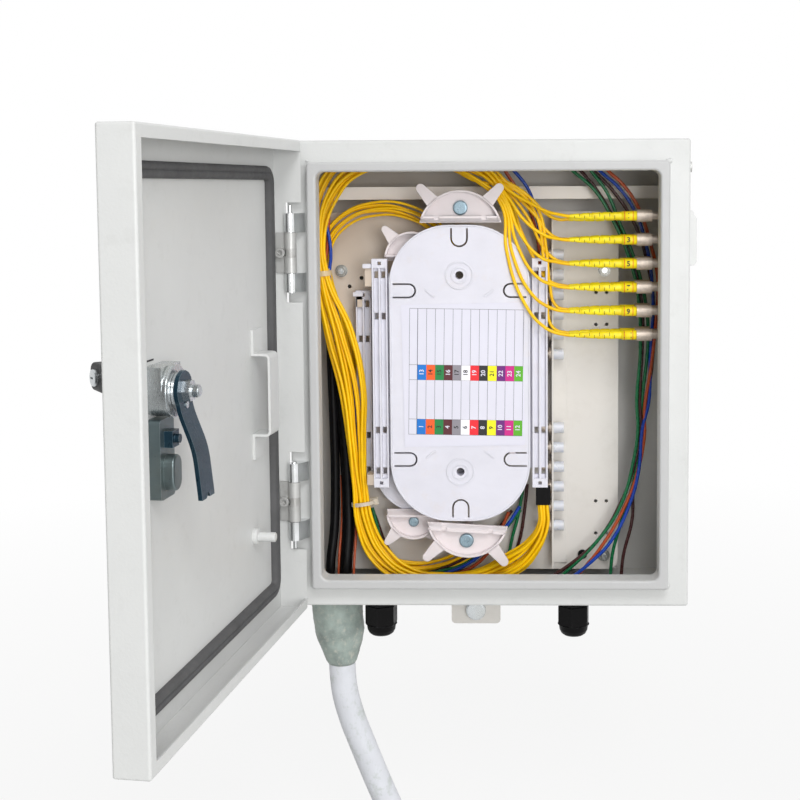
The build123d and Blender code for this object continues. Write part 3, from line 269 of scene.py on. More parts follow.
def knurled(name, colour):
    """Matt nickel with ridges along the nut, drawn by the direction that the surface faces, with painted
    shade in the grooves between them.
    """
    n = Surface(name)
    dark, light = shades(colour, 0.08)
    facing = n.xyz(n.add("ShaderNodeNewGeometry").outputs["Normal"])
    ridges = n.maths("SINE", n.times(n.maths("ARCTAN2", facing["Z"], facing["Y"]), 34.0))
    metal = n.mix(n.spread(n.noise(300, 3), 0.3, 0.7), dark, light)
    # Painted shade: darker colour in the grooves between the ridges
    metal = n.mix(n.spread(ridges, -1.0, 0.2, 0.55, 0.0), metal, linear([c * 0.55 for c in colour]))
    rough = n.spread(n.noise(500, 3), 0.2, 0.8, 0.32, 0.5)
    return n.made(metal, rough, n.bump(ridges, 0.00006), {"Metallic": 0.35})


def moulded(name, colour, grime, share=0.25):
    """Pale moulded plastic with flow marks and a little grime."""
    n = Surface(name)
    dark, light = shades(colour, 0.018)
    swirl = n.noise(22, 5, 0.6, n.stretched(1, 1, 1.6))
    plastic = n.mix(n.spread(swirl, 0.3, 0.7), dark, light)
    smear = n.times(n.spread(n.noise(46, 7, 0.72), 0.55, 0.75), share)
    plastic = n.mix(smear, plastic, linear(grime))
    rough = n.spread(n.noise(150, 4), 0.25, 0.75, 0.3, 0.46)
    normal = n.bump(n.noise(700, 2), 0.00003, n.rounded(0.0004))
    return n.made(plastic, rough, normal, subsurface(0.25, (1.0, 0.95, 0.9), 0.0015))


def jacket(name, colour, rough=0.34):
    """A cable's plastic jacket: slightly uneven, with fine scuffs."""
    return finish(name, colour, rough, spread=0.04, patch=45, grain=1400, depth=0.015, sheen=0.35,
                  dirt=[c * 0.8 for c in colour], dirt_share=0.25)


# The record's material slots
# Both case paints carry painted warm shade deep inside the case
powder_paint("case_paint")
# The plate carries painted warm shade towards its upper left
finish("plate_paint", (226, 225, 222), 0.42, spread=0.012, patch=10, edge=0.0004,
       dirt=(168, 158, 142), dirt_share=0.12, painted_shade=PaintedWarmShade((202, 182, 160), -0.2, -0.1, 0.8))
zinc_plate("zinc", (196, 200, 202), (196, 192, 170), 0.26)
zinc_plate("blue_zinc", (30, 58, 74), (62, 82, 88), 0.3, (140, 166, 178), 0.6)
knurled("nickel", (206, 192, 178))
finish("hinge_metal", (188, 188, 186), 0.36, metal=0.25, grain=800, edge=0.0005,
       worn=(150, 148, 144), dirt=(120, 118, 112), dirt_share=0.3)
finish("gasket_foam", (84, 84, 85), 0.7, spread=0.06, patch=40, grain=1300, depth=0.06,
       sheen=0.3)
moulded("tray_plastic", (220, 219, 228), (214, 198, 184))
moulded("guide_plastic", (229, 220, 221), (206, 190, 178), 0.35)
finish("cap_plastic", (226, 228, 236), 0.3, spread=0.02, grain=600, soft=0.6, clear=0.12,
       edge=0.0004)
finish("clip_plastic", (205, 189, 172), 0.45, edge=0.0004)
finish("card", (220, 219, 231), 0.5, spread=0.01, grain=1600, depth=0.01)
finish("boot_yellow", (252, 226, 16), 0.42, spread=0.05, patch=60, soft=0.12,
       dirt=(214, 160, 20), dirt_share=0.4)
jacket("fibre_yellow", (255, 198, 0))
jacket("fibre_tubes", (24, 60, 150))
finish("black_plastic", (5, 4, 5), 0.4, spread=0.15, patch=60, depth=0.03, edge=0.0005,
       worn=(30, 30, 32), dirt=(16, 15, 15), dirt_share=0.3, sheen=0.12)
finish("tie_plastic", (216, 192, 150), 0.4, soft=0.3)
finish("seal_foam", (150, 162, 156), 0.5, spread=0.14, patch=60, grain=420, depth=0.35,
       dirt=(198, 196, 184), dirt_share=0.8, soft=0.2)
finish("conduit_tape", (218, 220, 226), 0.45, patch=30, grain=260, depth=0.25,
       stretch=(1, 1, 0.3), dirt=(168, 178, 166), dirt_share=0.6)
finish("coupler_plastic", (206, 207, 205), 0.4, grain=800, depth=0.03, edge=0.0006,
       dirt=(160, 158, 150), dirt_share=0.3)

TUBE_COLOURS = {
    "blue": (22, 66, 168),
    "rust": (178, 78, 42),
    "green": (18, 104, 62),
    "brown": (66, 34, 34),
}
TUBES = {name: jacket("tube_" + name, colour, 0.28) for name, colour in TUBE_COLOURS.items()}
INK = finish("ink", (34, 32, 36), 0.6, spread=0.1, grain=1500, depth=0.004)
RULE = finish("rule", (78, 75, 86), 0.6, spread=0.1, grain=1500, depth=0.004)
# Shaded yellow, for the painted shade in the boots' cuts
CUT_SHADE = finish("cut_shade", (120, 104, 8), 0.6, spread=0.1, grain=1200, depth=0.01)
ORANGE = finish("collar_edge", (226, 120, 30), 0.5, spread=0.08, grain=1200, depth=0.01)

for part in frame["record"]["subparts"]:
    obj = frame["nodes"][part["node"]]
    obj.data.materials.clear()
    obj.data.materials.append(MATERIALS[part["material_slot"]])
for name in ("side_plug", "hinge_screws"):
    frame["nodes"][name].data.materials[0] = MATERIALS["hinge_metal"]
OWN_LOOKS = {
    # The shell's paint has painted shade on the front of its rim
    "case_shell": powder_paint("shell_paint_shaded_lip", lip=True),
    "cross_rail": finish("rail_paint", (250, 244, 237), 0.4, spread=0.012, edge=0.0005),
    "hinge_knuckles": zinc_plate("bright_zinc", (226, 228, 229), (214, 214, 206), 0.16,
                                 (244, 246, 248)),
    "lock_clamp": zinc_plate("dull_zinc", (104, 118, 121), (128, 130, 120), 0.34, (190, 200, 202), 0.7),
    "plate_nuts": zinc_plate("nut_zinc", (150, 150, 146), (120, 116, 104), 0.3, (235, 236, 234), 0.55),
    "guide_screws": zinc_plate("screw_zinc", (142, 164, 176), (150, 160, 160), 0.3, (190, 206, 214), 0.5),
}
OWN_LOOKS["hinge_pins"] = OWN_LOOKS["hinge_knuckles"]
OWN_LOOKS["lock_tongue"] = OWN_LOOKS["lock_clamp"]
for name, look in OWN_LOOKS.items():
    frame["nodes"][name].data.materials[0] = look


# Making pieces
def new_object(name, data):
    obj = bpy.data.objects.new(name, data)
    bpy.context.scene.collection.objects.link(obj)
    return obj


def mesh_of(bm, name):
    data = bpy.data.meshes.new(name)
    bm.to_mesh(data)
    bm.free()
    return data


def round_curve(name, r, round_steps, steps):
    data = bpy.data.curves.new(name, "CURVE")
    data.dimensions = "3D"
    data.bevel_depth = r / 1000
    data.bevel_resolution = round_steps
    data.resolution_u = steps
    data.use_fill_caps = True
    return data


def piece(name, data, slot, body="enclosure", material=None, stands_for=()):
    obj = new_object(name, data)
    data.materials.append(material or MATERIALS[slot])
    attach(obj, body)
    if stands_for:
        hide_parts(*stands_for)
    return obj


def line(name, runs, r, slot, body="enclosure", material=None, stands_for=()):
    """Round strands of radius r in millimetres, each through its own points."""
    data = round_curve(name, r, 3, 7)
    for run in runs:
        spline = data.splines.new("BEZIER")
        spline.bezier_points.add(len(run) - 1)
        for knot, point in zip(spline.bezier_points, run):
            knot.co = point
            knot.handle_left_type = "AUTO"
            knot.handle_right_type = "AUTO"
    return piece(name, data, slot, body, material, stands_for)


def solid(name, build, slot, body="enclosure", material=None, stands_for=(), smooth=True, crease=None):
    """A mesh that build(bm) draws in the row's frame, sharp where it turns by more than crease degrees."""
    bm = bmesh.new()
    build(bm)
    bmesh.ops.recalc_face_normals(bm, faces=bm.faces)
    data = mesh_of(bm, name)
    for face in data.polygons:
        face.use_smooth = smooth
    if crease:
        data.set_sharp_from_angle(angle=radians(crease))
    return piece(name, data, slot, body, material, stands_for)


def ring_wall(bm, rings, closed_ends=True):
    """Joins rings of points, each list as long as the next, into a tube."""
    loops = [[bm.verts.new(p) for p in ring] for ring in rings]
    count = len(loops[0])
    for a, b in zip(loops, loops[1:]):
        for i in range(count):
            bm.faces.new((a[i], a[(i + 1) % count], b[(i + 1) % count], b[i]))
    if closed_ends:
        bm.faces.new(loops[0])
        bm.faces.new(loops[-1][::-1])
    return loops


def turned(bm, centre, axis, profile, sides=24, shape=None):
    """A turned form: profile is (distance along the axis, radius) in millimetres."""
    axis = Vector(axis).normalized()
    side = axis.orthogonal().normalized()
    other = axis.cross(side)
    rings = []
    for along, r in profile:
        ring = []
        for i in range(sides):
            a = 2 * pi * i / sides
            grow = shape(along, a) if shape else 0.0
            ring.append(centre + (axis * along + (side * cos(a) + other * sin(a)) * (r + grow)) / 1000)
        rings.append(ring)
    ring_wall(bm, rings)


def slab(bm, corner, across, up, out, thick=0.12):
    """A thin plate from one corner, its sides and the way it faces, in metres."""
    lift = out.normalized() * thick / 1000
    base = [corner, corner + across, corner + across + up, corner + up]
    low = [bm.verts.new(p) for p in base]
    high = [bm.verts.new(p + lift) for p in base]
    bm.faces.new(high)
    for i in range(4):
        bm.faces.new((low[i], low[(i + 1) % 4], high[(i + 1) % 4], high[i]))


def arc(u, v, r, a0, a1, steps=16):
    """Points round (u, v), from a0 to a1 in degrees."""
    angles = [radians(a0 + (a1 - a0) * i / steps) for i in range(steps + 1)]
    return [(u + r * cos(a), v + r * sin(a)) for a in angles]


def box_outline(u, v, wide, tall, r=0.0):
    """A rectangle round (u, v), with corners of radius r."""
    a, b = wide / 2 - r, tall / 2 - r
    if r == 0.0:
        return [(u + a, v + b), (u - a, v + b), (u - a, v - b), (u + a, v - b)]
    corners = ((a, b, 0), (-a, b, 90), (-a, -b, 180), (a, -b, 270))
    return [point for du, dv, turn in corners for point in arc(u + du, v + dv, r, turn, turn + 90)]


def band(u, v, r, wide, a0, a1, steps=24):
    """A strip of a ring round (u, v), between radius r and r less its width."""
    return arc(u, v, r, a0, a1, steps) + arc(u, v, r - wide, a1, a0, steps)


def prism(bm, loops, y0, y1, place):
    """A solid between two depths: the first loop is its outline, the others are holes."""
    flat = [Vector((u, v, 0)) for loop in loops for u, v in loop]
    ends = [[bm.verts.new(place(p.x, p.y, y)) for p in flat] for y in (y0, y1)]
    for tri in geometry.tessellate_polygon([[Vector((u, v, 0)) for u, v in loop] for loop in loops]):
        for verts in ends:
            bm.faces.new([verts[i] for i in tri])
    start = 0
    for loop in loops:
        count = len(loop)
        for i in range(count):
            a, b = start + i, start + (i + 1) % count
            bm.faces.new((ends[0][a], ends[0][b], ends[1][b], ends[1][a]))
        start += count


def upright(x, z):
    return lambda u, v, y: at(x + u, y, z + v)


# Camera
camera_data = bpy.data.cameras.new("camera")
camera_data.lens = 60.0937
camera_data.sensor_width = 36
camera_data.shift_x = -0.10374
camera_data.shift_y = -0.13614
camera_data.clip_start = 0.05
camera_data.clip_end = 60
camera = new_object("camera", camera_data)
camera.matrix_world = Matrix((
    (0.9997196, 0.0032977, 0.02345, 0.03758),
    (0.0231192, 0.0782188, -0.99667, -1.25267),
    (-0.0051208, 0.9969308, 0.07812, 0.22271),
    (0, 0, 0, 1),
))
bpy.context.scene.camera = camera


# Conduit
CONDUIT_R = 12.0
CONDUIT_ROUTE = [
    (34.6, 50, -55),
    (34.6, 50, -85),
    (41.2, 53, -117),
    (53.8, 57.5, -153),
    (68.2, 61, -192),
    (80.6, 63.5, -222),
]


def conduit():
    data = round_curve("taped_conduit", CONDUIT_R, 8, 16)
    spline = data.splines.new("NURBS")
    spline.points.add(len(CONDUIT_ROUTE) - 1)
    for knot, point in zip(spline.points, CONDUIT_ROUTE):
        knot.co = (*at(*point), 1.0)
    spline.order_u = 3
    spline.use_endpoint_u = True
    obj = piece("taped_conduit", data, "conduit_tape", stands_for=("conduit",))


conduit()


# Yellow fibres: one bundle from the tray's sleeve round the left side, fanned out to the plugs.
# The loop's knots are the bundle's middle and half its width; the bends are x and z, row by row.
FIBRE_LOOP = [
    (216.8, 44, 79, 5.2),
    (216.8, 44, 61, 6),
    (208, 45, 41, 8),
    (188, 47, 22.5, 11),
    (158, 50, 11.5, 6),
    (124, 52, 9.2, 5),
    (94, 52, 13, 8),
    (71, 52, 30, 10),
    (58, 51, 58, 9),
    (53, 50, 94, 7.5),
    (50, 49.5, 135, 9),
    (47, 48.5, 182, 12.5),
    (36.5, 47, 232, 13.5),
    (23.2, 46, 280, 6.8),
    (20.4, 45, 318, 6.2),
    (27.5, 44, 354, 11),
    (51, 43, 379, 12),
    (94, 42, 385, 9),
    (136, 42, 384, 9),
    (163, 42, 373.5, 10.5),
]
FIBRE_R = 1.45
PLUG_ZS = [231.6 + 20.64 * row for row in range(6)]
PLUG_FRONT_Y = 28.0
PLUG_REAR_Y = 48.0
BOOT_TIP_X = 239.7
REAR_DROP = 3.2
TIED_KNOTS = (0, 9, 13)
FRONT_BENDS = [
    ((181, 344), (185, 305.7), (199, 262.2), (219, 237.7)),
    ((182.5, 346), (190, 303), (207.5, 266.5), (224, 255)),
    ((184, 347.5), (194, 311), (211.5, 282.2), (226, 275)),
    ((185, 349), (197, 319.7), (215.5, 298.6), (228, 295.2)),
    ((186.5, 351.5), (201, 331), (219, 317.9), (229.5, 315.2)),
    ((187, 357.5), (208, 345), (222, 338.2), (231, 336.2)),
]
REAR_BENDS = [
    ((188.5, 360), (209, 340), (217.5, 298), (220.5, 258), (226, 236)),
    ((190.5, 362), (212, 342), (220, 305), (223, 275), (229, 255)),
    ((186, 352), (199, 319), (210, 296), (222, 278)),
    ((187, 355), (205, 331.5), (215.5, 310), (227, 297)),
    ((188.5, 357), (210.5, 335), (220, 322), (230, 315)),
    ((189.5, 361), (206, 350.5), (221, 336), (231, 331.5)),
]


def across_run(step):
    """The direction across a step of a strand's route, in the plane of the case's back."""
    along = step.normalized()
    return Vector((-along.z, 0, along.x)).normalized()


def knots_and_sides(route):
    """Each knot of a route with the direction across it there."""
    points = [Vector(knot[:3]) for knot in route]
    for before, point, after in zip(points[:1] + points, points, points[1:] + points[-1:]):
        yield point, across_run(after - before)


def bundle_knots(level, layer, phase):
    """A strand's points along the bundle, at a level across it and a layer in its depth."""
    knots = []
    for k, (point, side) in enumerate(knots_and_sides(FIBRE_LOOP)):
        half = FIBRE_LOOP[k][3]
        tied = 0.25 if k in TIED_KNOTS else 1.0
        drift = 0.22 * tied * sin(0.83 * k + phase)
        across = max(-1.0, min(1.0, level + drift)) * (half - FIBRE_R)
        deep = layer * 2.9 + 0.5 * tied * sin(1.3 * k + 2 * phase)
        knots.append(point + side * across + Vector((0, deep, 0)))
    return knots


def yellow_runs():
    runs = []
    for row, z in enumerate(PLUG_ZS):
        level = (row - 2.5) / 2.5
        for rear in (False, True):
            layer = (0.9 if rear else -0.9) + 0.35 * (-1) ** row
            phase = 1.7 * row + (2.1 if rear else 0)
            knots = bundle_knots(level * 0.94 + (0.12 if rear else -0.06), layer, phase)
            bends = REAR_BENDS[row] if rear else FRONT_BENDS[row]
            first_y, last_y = (46.0, PLUG_REAR_Y) if rear else (38.6, PLUG_FRONT_Y)
            drop = REAR_DROP if rear and row == 5 else 0.0
            count = len(bends)
            for i, (bx, bz) in enumerate(bends):
                share = (i + 0.4) / count
                knots.append(Vector((bx, first_y + (last_y - first_y) * share, bz)))
            knots.append(Vector((BOOT_TIP_X - 1.5, last_y, z - drop)))
            knots.append(Vector((BOOT_TIP_X + 9, last_y, z - drop)))
            runs.append([at(*p) for p in knots])
    return runs


line("yellow_fibres", yellow_runs(), FIBRE_R, "fibre_yellow", stands_for=("fibre_bundle", "pigtails"))

INNER_FIBRES = 7
INNER_R = 1.2
INNER_LOOP = [
    (150, 70, 29),
    (123, 70, 17.5),
    (95, 70, 14.5),
    (72, 71, 21),
    (58, 73, 38),
    (51.5, 75, 76.2),
    (49.5, 75, 98),
    (48.5, 75, 145),
    (47, 74, 195),
    (36, 72, 242),
    (22.5, 69.5, 280),
    (22.5, 67, 308),
    (40, 66, 332),
    (68, 66, 341.5),
    (97, 66, 338),
    (122, 68, 322.5),
    (137, 71, 298),
]


def inner_runs():
    runs = []
    for i in range(INNER_FIBRES):
        deep = Vector((0, 1.8 * (i % 3 - 1) - 1.5, 0))
        knots = []
        for k, (point, side) in enumerate(knots_and_sides(INNER_LOOP)):
            wide = 5.0 if k > 9 or k < 4 else 2.6
            across = wide * ((i - 3) / 3 + 0.3 * sin(0.9 * k + 2.3 * i))
            knots.append(at(*(point + side * across + deep)))
        runs.append(knots)
    return runs


line("yellow_inner_loop", inner_runs(), INNER_R, "fibre_yellow", stands_for=("fibre_inner_loop",))

# Coloured tubes, each with the depths at its two ends and its own points in x and z
TUBE_RUNS = {
    "tubes_right": [
        ("green", 62, 60, [(236, 381), (244, 374), (264, 356), (280, 329), (292, 302), (301, 268),
                           (304, 214), (301, 169), (302, 142), (298, 113), (287, 74), (266, 41), (231, 6)]),
        ("brown", 65, 60, [(244, 381), (251, 374), (266, 356), (284, 324), (299, 288), (306, 250),
                           (306, 219), (304, 169), (305, 142), (299, 110), (288, 78), (266, 41),
                           (246, 23), (222, 6)]),
        ("green", 60, 65, [(255, 381), (260, 374), (274, 355), (285, 329), (300, 292), (309, 255),
                           (311, 223), (306, 169), (304, 133), (299, 96), (287, 55), (280, 28), (278, 5)]),
        ("blue", 66, 57, [(262, 381), (268, 374), (283, 361), (297, 342), (308, 313), (315, 268),
                          (313, 205), (312, 169), (306, 142), (303, 106), (296, 78), (278, 41),
                          (261, 23), (240, 6)]),
        ("rust", 61, 61, [(269, 381), (275, 374), (288, 362), (302, 341), (312, 312), (319, 280),
                          (318, 241), (313, 195), (308, 160), (308, 136), (302, 104), (293, 78),
                          (272, 39), (246, 6)]),
        ("brown", 68, 68, [(257, 381), (263, 374), (281, 355), (300, 325), (311, 290), (317, 250),
                           (317, 232), (315, 196), (309, 159), (306, 123), (299, 86), (298, 59),
                           (290, 25), (288, 5)]),
    ],
    "tubes_middle": [
        ("rust", 61, 75, [(181, 379), (194, 359), (204, 344), (210, 326), (214, 305), (213, 272)]),
        ("blue", 62, 76, [(188, 379), (205, 357), (210, 341), (215, 317), (217, 297), (216, 270)]),
    ],
    "tubes_floor": [
        ("rust", 60, 66, [(27, 348), (26.5, 330), (25, 306), (22, 286), (34, 233), (46, 161), (50, 106),
                          (54, 74), (60, 53), (73, 37), (85, 22), (101, 11), (117, 6), (137, 9),
                          (160, 21), (178, 48), (186, 66)]),
        ("blue", 57, 63, [(24, 330), (27, 318), (28.6, 300), (27, 282), (37, 233), (49, 161), (53, 106),
                          (57, 74), (63, 51), (72, 35), (83, 22), (97, 12), (111, 8), (132, 12),
                          (150, 20), (166, 33), (184, 54), (196, 72)]),
        ("green", 66, 66, [(62, 70), (74, 31), (87, 15), (105, 8), (122, 11), (147, 19), (174, 41),
                           (197, 68)]),
        ("brown", 69, 68, [(64, 62), (78, 28), (94, 13), (112, 8), (127, 14), (147, 24), (171, 44),
                           (189, 67)]),
        ("green", 72, 72, [(199, 86), (195, 63), (189, 40), (186, 24), (184, 5)]),
        ("brown", 74, 74, [(203, 90), (201, 70), (197, 43), (193, 28), (191, 5)]),
    ],
}
TUBE_R = 1.55


def coloured_tubes():
    for node, group in TUBE_RUNS.items():
        for i, (colour, y0, y1, points) in enumerate(group):
            last = len(points) - 1
            run = [at(x, y0 + (y1 - y0) * k / last, z) for k, (x, z) in enumerate(points)]
            line(f"{node}_{i}_{colour}", [run], TUBE_R, "fibre_tubes", material=TUBES[colour],
                 stands_for=(node,))


coloured_tubes()


# Black trunk cables with thin rust-coloured leads beside them, up from the hole in the floor
TRUNKS = {
    "trunk_left": (4.3, [(25, 50, 4), (25.5, 52, 24), (28.2, 58, 52), (29, 63, 90), (28.6, 65, 130),
                         (27.4, 66, 175), (26, 67, 222)]),
    "trunk_right": (5.6, [(38.5, 50, 4), (39.5, 52, 24), (41, 57, 50), (40.6, 62, 84), (38.6, 65, 122),
                          (35, 66, 165), (31, 68, 214)]),
}
LEADS = [
    [(32.2, 50, 4), (33, 55, 30), (34.8, 62, 60), (34.4, 66, 100)],
    [(45.6, 50, 4), (46.4, 55, 24), (47.4, 61, 48), (46.8, 66, 70)],
]


def trunks():
    for name, (r, points) in TRUNKS.items():
        line(name, [[at(*p) for p in points]], r, "black_plastic", stands_for=("trunk_cables",))
    runs = [[at(*p) for p in lead] for lead in LEADS]
    line("trunk_leads", runs, 1.2, "fibre_tubes", material=TUBES["rust"])


trunks()


# Ragged foam round the conduit's mouth
FOAM_X = 30.5
FOAM_Y = 50.0
FOAM_LOW = -68.0
FOAM_LEVELS = 26
FOAM_SIDES = 48
COLLAR_R = 18.0


def foam_radius(t):
    """The foam's radius, t from 0 at the case to 1 where it meets the conduit."""
    if t == 1.0:
        return 12.4
    return 24.5 - 2.0 * t if t < 0.55 else 23.4 - 9.6 * ((t - 0.55) / 0.45) ** 1.15


def foam(bm):
    rings = []
    for k in range(FOAM_LEVELS + 1):
        t = k / FOAM_LEVELS
        z = FOAM_LOW * t
        centre_x = FOAM_X + 4.1 * t
        ring = []
        for i in range(FOAM_SIDES):
            a = 2 * pi * i / FOAM_SIDES
            where = Vector((cos(a) * 1.7, sin(a) * 1.7, z / 13))
            lump = 1.6 * noise.noise(where) + 0.7 * noise.noise(where * 3.1) + 0.3 * noise.noise(where * 8)
            r = max(12.2, foam_radius(t) - 1.0 + lump * (0.35 + 0.65 * sin(pi * min(1, t + 0.12))))
            ragged = 0.8 * noise.noise(where * 2) if 0 < k < FOAM_LEVELS else 0.0
            ring.append(at(centre_x + r * cos(a), FOAM_Y + r * sin(a), z + ragged))
        rings.append(ring)
    ring_wall(bm, rings)
    collar = [(-1.0, COLLAR_R), (4.0, COLLAR_R), (5.4, COLLAR_R)]
    turned(bm, at(FOAM_X, FOAM_Y, 0.0), (0, 0, 1), collar, 32)


solid("foam_seal", foam, "seal_foam", stands_for=("cable_seal",))


# Plugs: yellow boots with cuts and painted shade along them, numbered collars
BOOT_L = 45.0
CUT_PITCH = 4.5
CUT_DEEP = 0.55
CUTS_FROM = 3.0
CUTS_TO = 41.0


def boot_radius(along):
    """The boot's radius at a distance from its thin end."""
    if along < 24.75:
        return 1.6 + 1.8 * (along / 24.75) ** 0.85
    return 3.4 + 0.1 * (along - 24.75) / 20.25


def boot_cuts(along, a):
    """How far the cuts, above and below by turns, lower the boot's surface."""
    if not CUTS_FROM < along < CUTS_TO:
        return 0.0
    upper = int(along / CUT_PITCH) % 2 == 0
    facing = cos(a - (pi / 2 if upper else -pi / 2))
    return -CUT_DEEP if along % CUT_PITCH < 0.2 * CUT_PITCH and facing > 0.2 else 0.0


def plug_boots(bm):
    profile = [(0.75 * i, boot_radius(0.75 * i)) for i in range(60)]
    profile += [(44.9, 3.5), (BOOT_L, 4.15), (57.6, 4.15), (57.8, 3.9)]
    for row, z in enumerate(PLUG_ZS):
        for y in (PLUG_FRONT_Y, PLUG_REAR_Y):
            drop = REAR_DROP if y == PLUG_REAR_Y and row == 5 else 0.0
            lean = Vector((1, 0, drop / 58))
            turned(bm, at(BOOT_TIP_X, y, z - drop), lean, profile, 24, boot_cuts)


solid("plug_boots_cut", plug_boots, "boot_yellow", stands_for=("plug_boots",))


def collar_edges(bm):
    profile = [(0, 4.1), (0.05, 4.32), (0.65, 4.32), (0.7, 4.1)]
    for z in PLUG_ZS:
        for x in (286.4, 293.8):
            turned(bm, at(x, PLUG_FRONT_Y, z), (1, 0, 0), profile, 24)


solid("collar_edges", collar_edges, "boot_yellow", material=ORANGE)


def cut_shades(bm):
    """Painted shade: dark yellow lines across the front boots where their cuts are, high and low by turns.
    """
    for z in PLUG_ZS:
        for k in range(9):
            along = 4.2 + 4.3 * k
            r = boot_radius(along) + 0.08
            low = -0.15 * r if k % 2 else -0.72 * r
            x = BOOT_TIP_X + along
            rings = []
            for i in range(5):
                dz = low + 0.87 * r * i / 4
                y = PLUG_FRONT_Y - (r * r - dz * dz) ** 0.5
                rings.append([bm.verts.new(at(x + side * 0.27, y, z + dz)) for side in (-1, 1)])
            for a, b in zip(rings, rings[1:]):
                bm.faces.new((a[0], a[1], b[1], b[0]))


solid("boot_cut_shades", cut_shades, "boot_yellow", material=CUT_SHADE)


def words(name, items, material):
    """Plain numbers as one thin mesh: items are (text, size in mm, place(u, v) giving a point)."""
    bm = bmesh.new()
    for text, size, place in items:
        data = bpy.data.curves.new("text", "FONT")
        data.body = text
        data.align_x = "CENTER"
        data.align_y = "CENTER"
        data.size = size
        data.offset = size * 0.02
        data.resolution_u = 3
        holder = new_object("text", data)
        mesh = bpy.data.meshes.new_from_object(holder.evaluated_get(bpy.context.evaluated_depsgraph_get()))
        corners = [bm.verts.new(place(v.co.x, v.co.y)) for v in mesh.vertices]
        for face in mesh.polygons:
            bm.faces.new([corners[i] for i in face.vertices])
        bpy.data.objects.remove(holder)
        bpy.data.curves.remove(data)
        bpy.data.meshes.remove(mesh)
    piece(name, mesh_of(bm, name), "card", material=material)


NUMBER_R = 4.42


def collar_numbers():
    items = []
    for row, z in enumerate(PLUG_ZS):
        number = str(11 - 2 * row)
        spots = [(290.2, number)] if len(number) == 1 else [(286.8, "1"), (292.6, "1")]
        for x, text in spots:
            def place(u, v, x=x, z=z):
                return at(x + u, PLUG_FRONT_Y - max(0.1, NUMBER_R ** 2 - v * v) ** 0.5, z + v)
            items.append((text, 6.2, place))
    words("collar_numbers", items, INK)


collar_numbers()


# Label card: ruled columns, two rows of colours and their numbers
CARD_C = Vector((146.6, 0, 195.7))
CARD_TURN = radians(1.0)
CARD_FACE = 35.4
CELL_COLOURS = {
    "blue": (10, 116, 204),
    "orange": (238, 92, 26),
    "green": (10, 128, 62),
    "brown": (84, 26, 34),
    "grey": (142, 138, 146),
    "white": (243, 242, 248),
    "red": (232, 30, 44),
    "black": (22, 20, 22),
    "yellow": (246, 240, 20),
    "violet": (104, 20, 118),
    "pink": (204, 22, 132),
    "light_green": (88, 172, 24),
}
COLUMN_W = 7.72
FIRST_COLUMN = -40.2
CARD_LEFT = -47.4


def on_card(u, v, out=0.0):
    """A point on the card, u and v from its middle."""
    x = CARD_C.x + u * cos(CARD_TURN) + v * sin(CARD_TURN)
    z = CARD_C.z - u * sin(CARD_TURN) + v * cos(CARD_TURN)
    return at(x, CARD_FACE - out, z)


def card_bar(bm, u0, u1, v0, v1, out=0.0):
    corner = on_card(u0, v0, out)
    across = on_card(u1, v0, out) - corner
    slab(bm, corner, across, on_card(u0, v1, out) - corner, Vector((0, -1, 0)), 0.08)


ROWS = ((-4.7, 8.6), (-53.0, -39.6))
LINE_TOP = 58.2
LINE_LOW = -53.2


def card_rules(bm):
    wide = 0.28
    for u in [CARD_LEFT, FIRST_COLUMN - 0.2] + [FIRST_COLUMN + COLUMN_W * i for i in range(13)]:
        card_bar(bm, u - wide / 2, u + wide / 2, LINE_LOW, LINE_TOP)
    right = FIRST_COLUMN + COLUMN_W * 12
    for v in (LINE_LOW, ROWS[1][1], ROWS[0][0], ROWS[0][1], LINE_TOP):
        card_bar(bm, CARD_LEFT, right, v - wide / 2, v + wide / 2)


solid("card_rules", card_rules, "card", material=RULE, smooth=False)


def card_cells():
    for i, (name, colour) in enumerate(CELL_COLOURS.items()):
        def cells(bm, i=i):
            u0 = FIRST_COLUMN + COLUMN_W * i
            for low, high in ROWS:
                card_bar(bm, u0 + 0.1, u0 + COLUMN_W + 0.1, low, high, 0.05)
        ink = finish("card_" + name, colour, 0.5, spread=0.02, grain=1500, depth=0.006)
        solid("card_cells_" + name, cells, "card", material=ink, smooth=False)


card_cells()


def card_numbers():
    pale, dark = [], []
    for i, name in enumerate(CELL_COLOURS):
        for first, (low, high) in ((13, ROWS[0]), (1, ROWS[1])):
            middle_u = FIRST_COLUMN + COLUMN_W * (i + 0.5)
            middle_v = (low + high) / 2

            def place(u, v, mu=middle_u, mv=middle_v):
                return on_card(mu - v, mv + u, 0.16)
            group = dark if name in ("white", "yellow", "grey", "green", "orange") else pale
            group.append((str(first + i), 5.4, place))
    words("card_numbers_dark", dark, INK)
    words("card_numbers_pale", pale, MATERIALS["card"])


card_numbers()


# Weld beads at the corners of the case's front, each with its place and radius
WELDS = (
    (8.6, -1.0, 11.5, 3.4),
    (21.5, -12.0, 21.0, 3.2),
    (318.5, -12.2, 21.5, 4.2),
    (17.5, -0.5, 383.0, 1.1),
    (322.0, -1.0, 381.5, 2.4),
    (314.0, -12.0, 379.0, 3.0),
)


def welds(bm):
    for x, y, z, r in WELDS:
        start = len(bm.verts)
        bmesh.ops.create_icosphere(bm, subdivisions=3, radius=r / 1000)
        bm.verts.ensure_lookup_table()
        centre = at(x, y, z)
        for v in bm.verts[start:]:
            swell = 1 + 0.35 * noise.noise(v.co * 600 + centre * 90)
            v.co = Vector((v.co.x * swell, v.co.y * swell * 0.45, v.co.z * swell * 0.8)) + centre


solid("weld_beads", welds, "case_paint")


# Cable ties with their heads
TIE_HEAD = (6.4, 4.4, 5.4)
TIE_SECTION = ((-0.5, -0.3), (-0.5, 0.9), (0.5, 0.9), (0.5, -0.3))


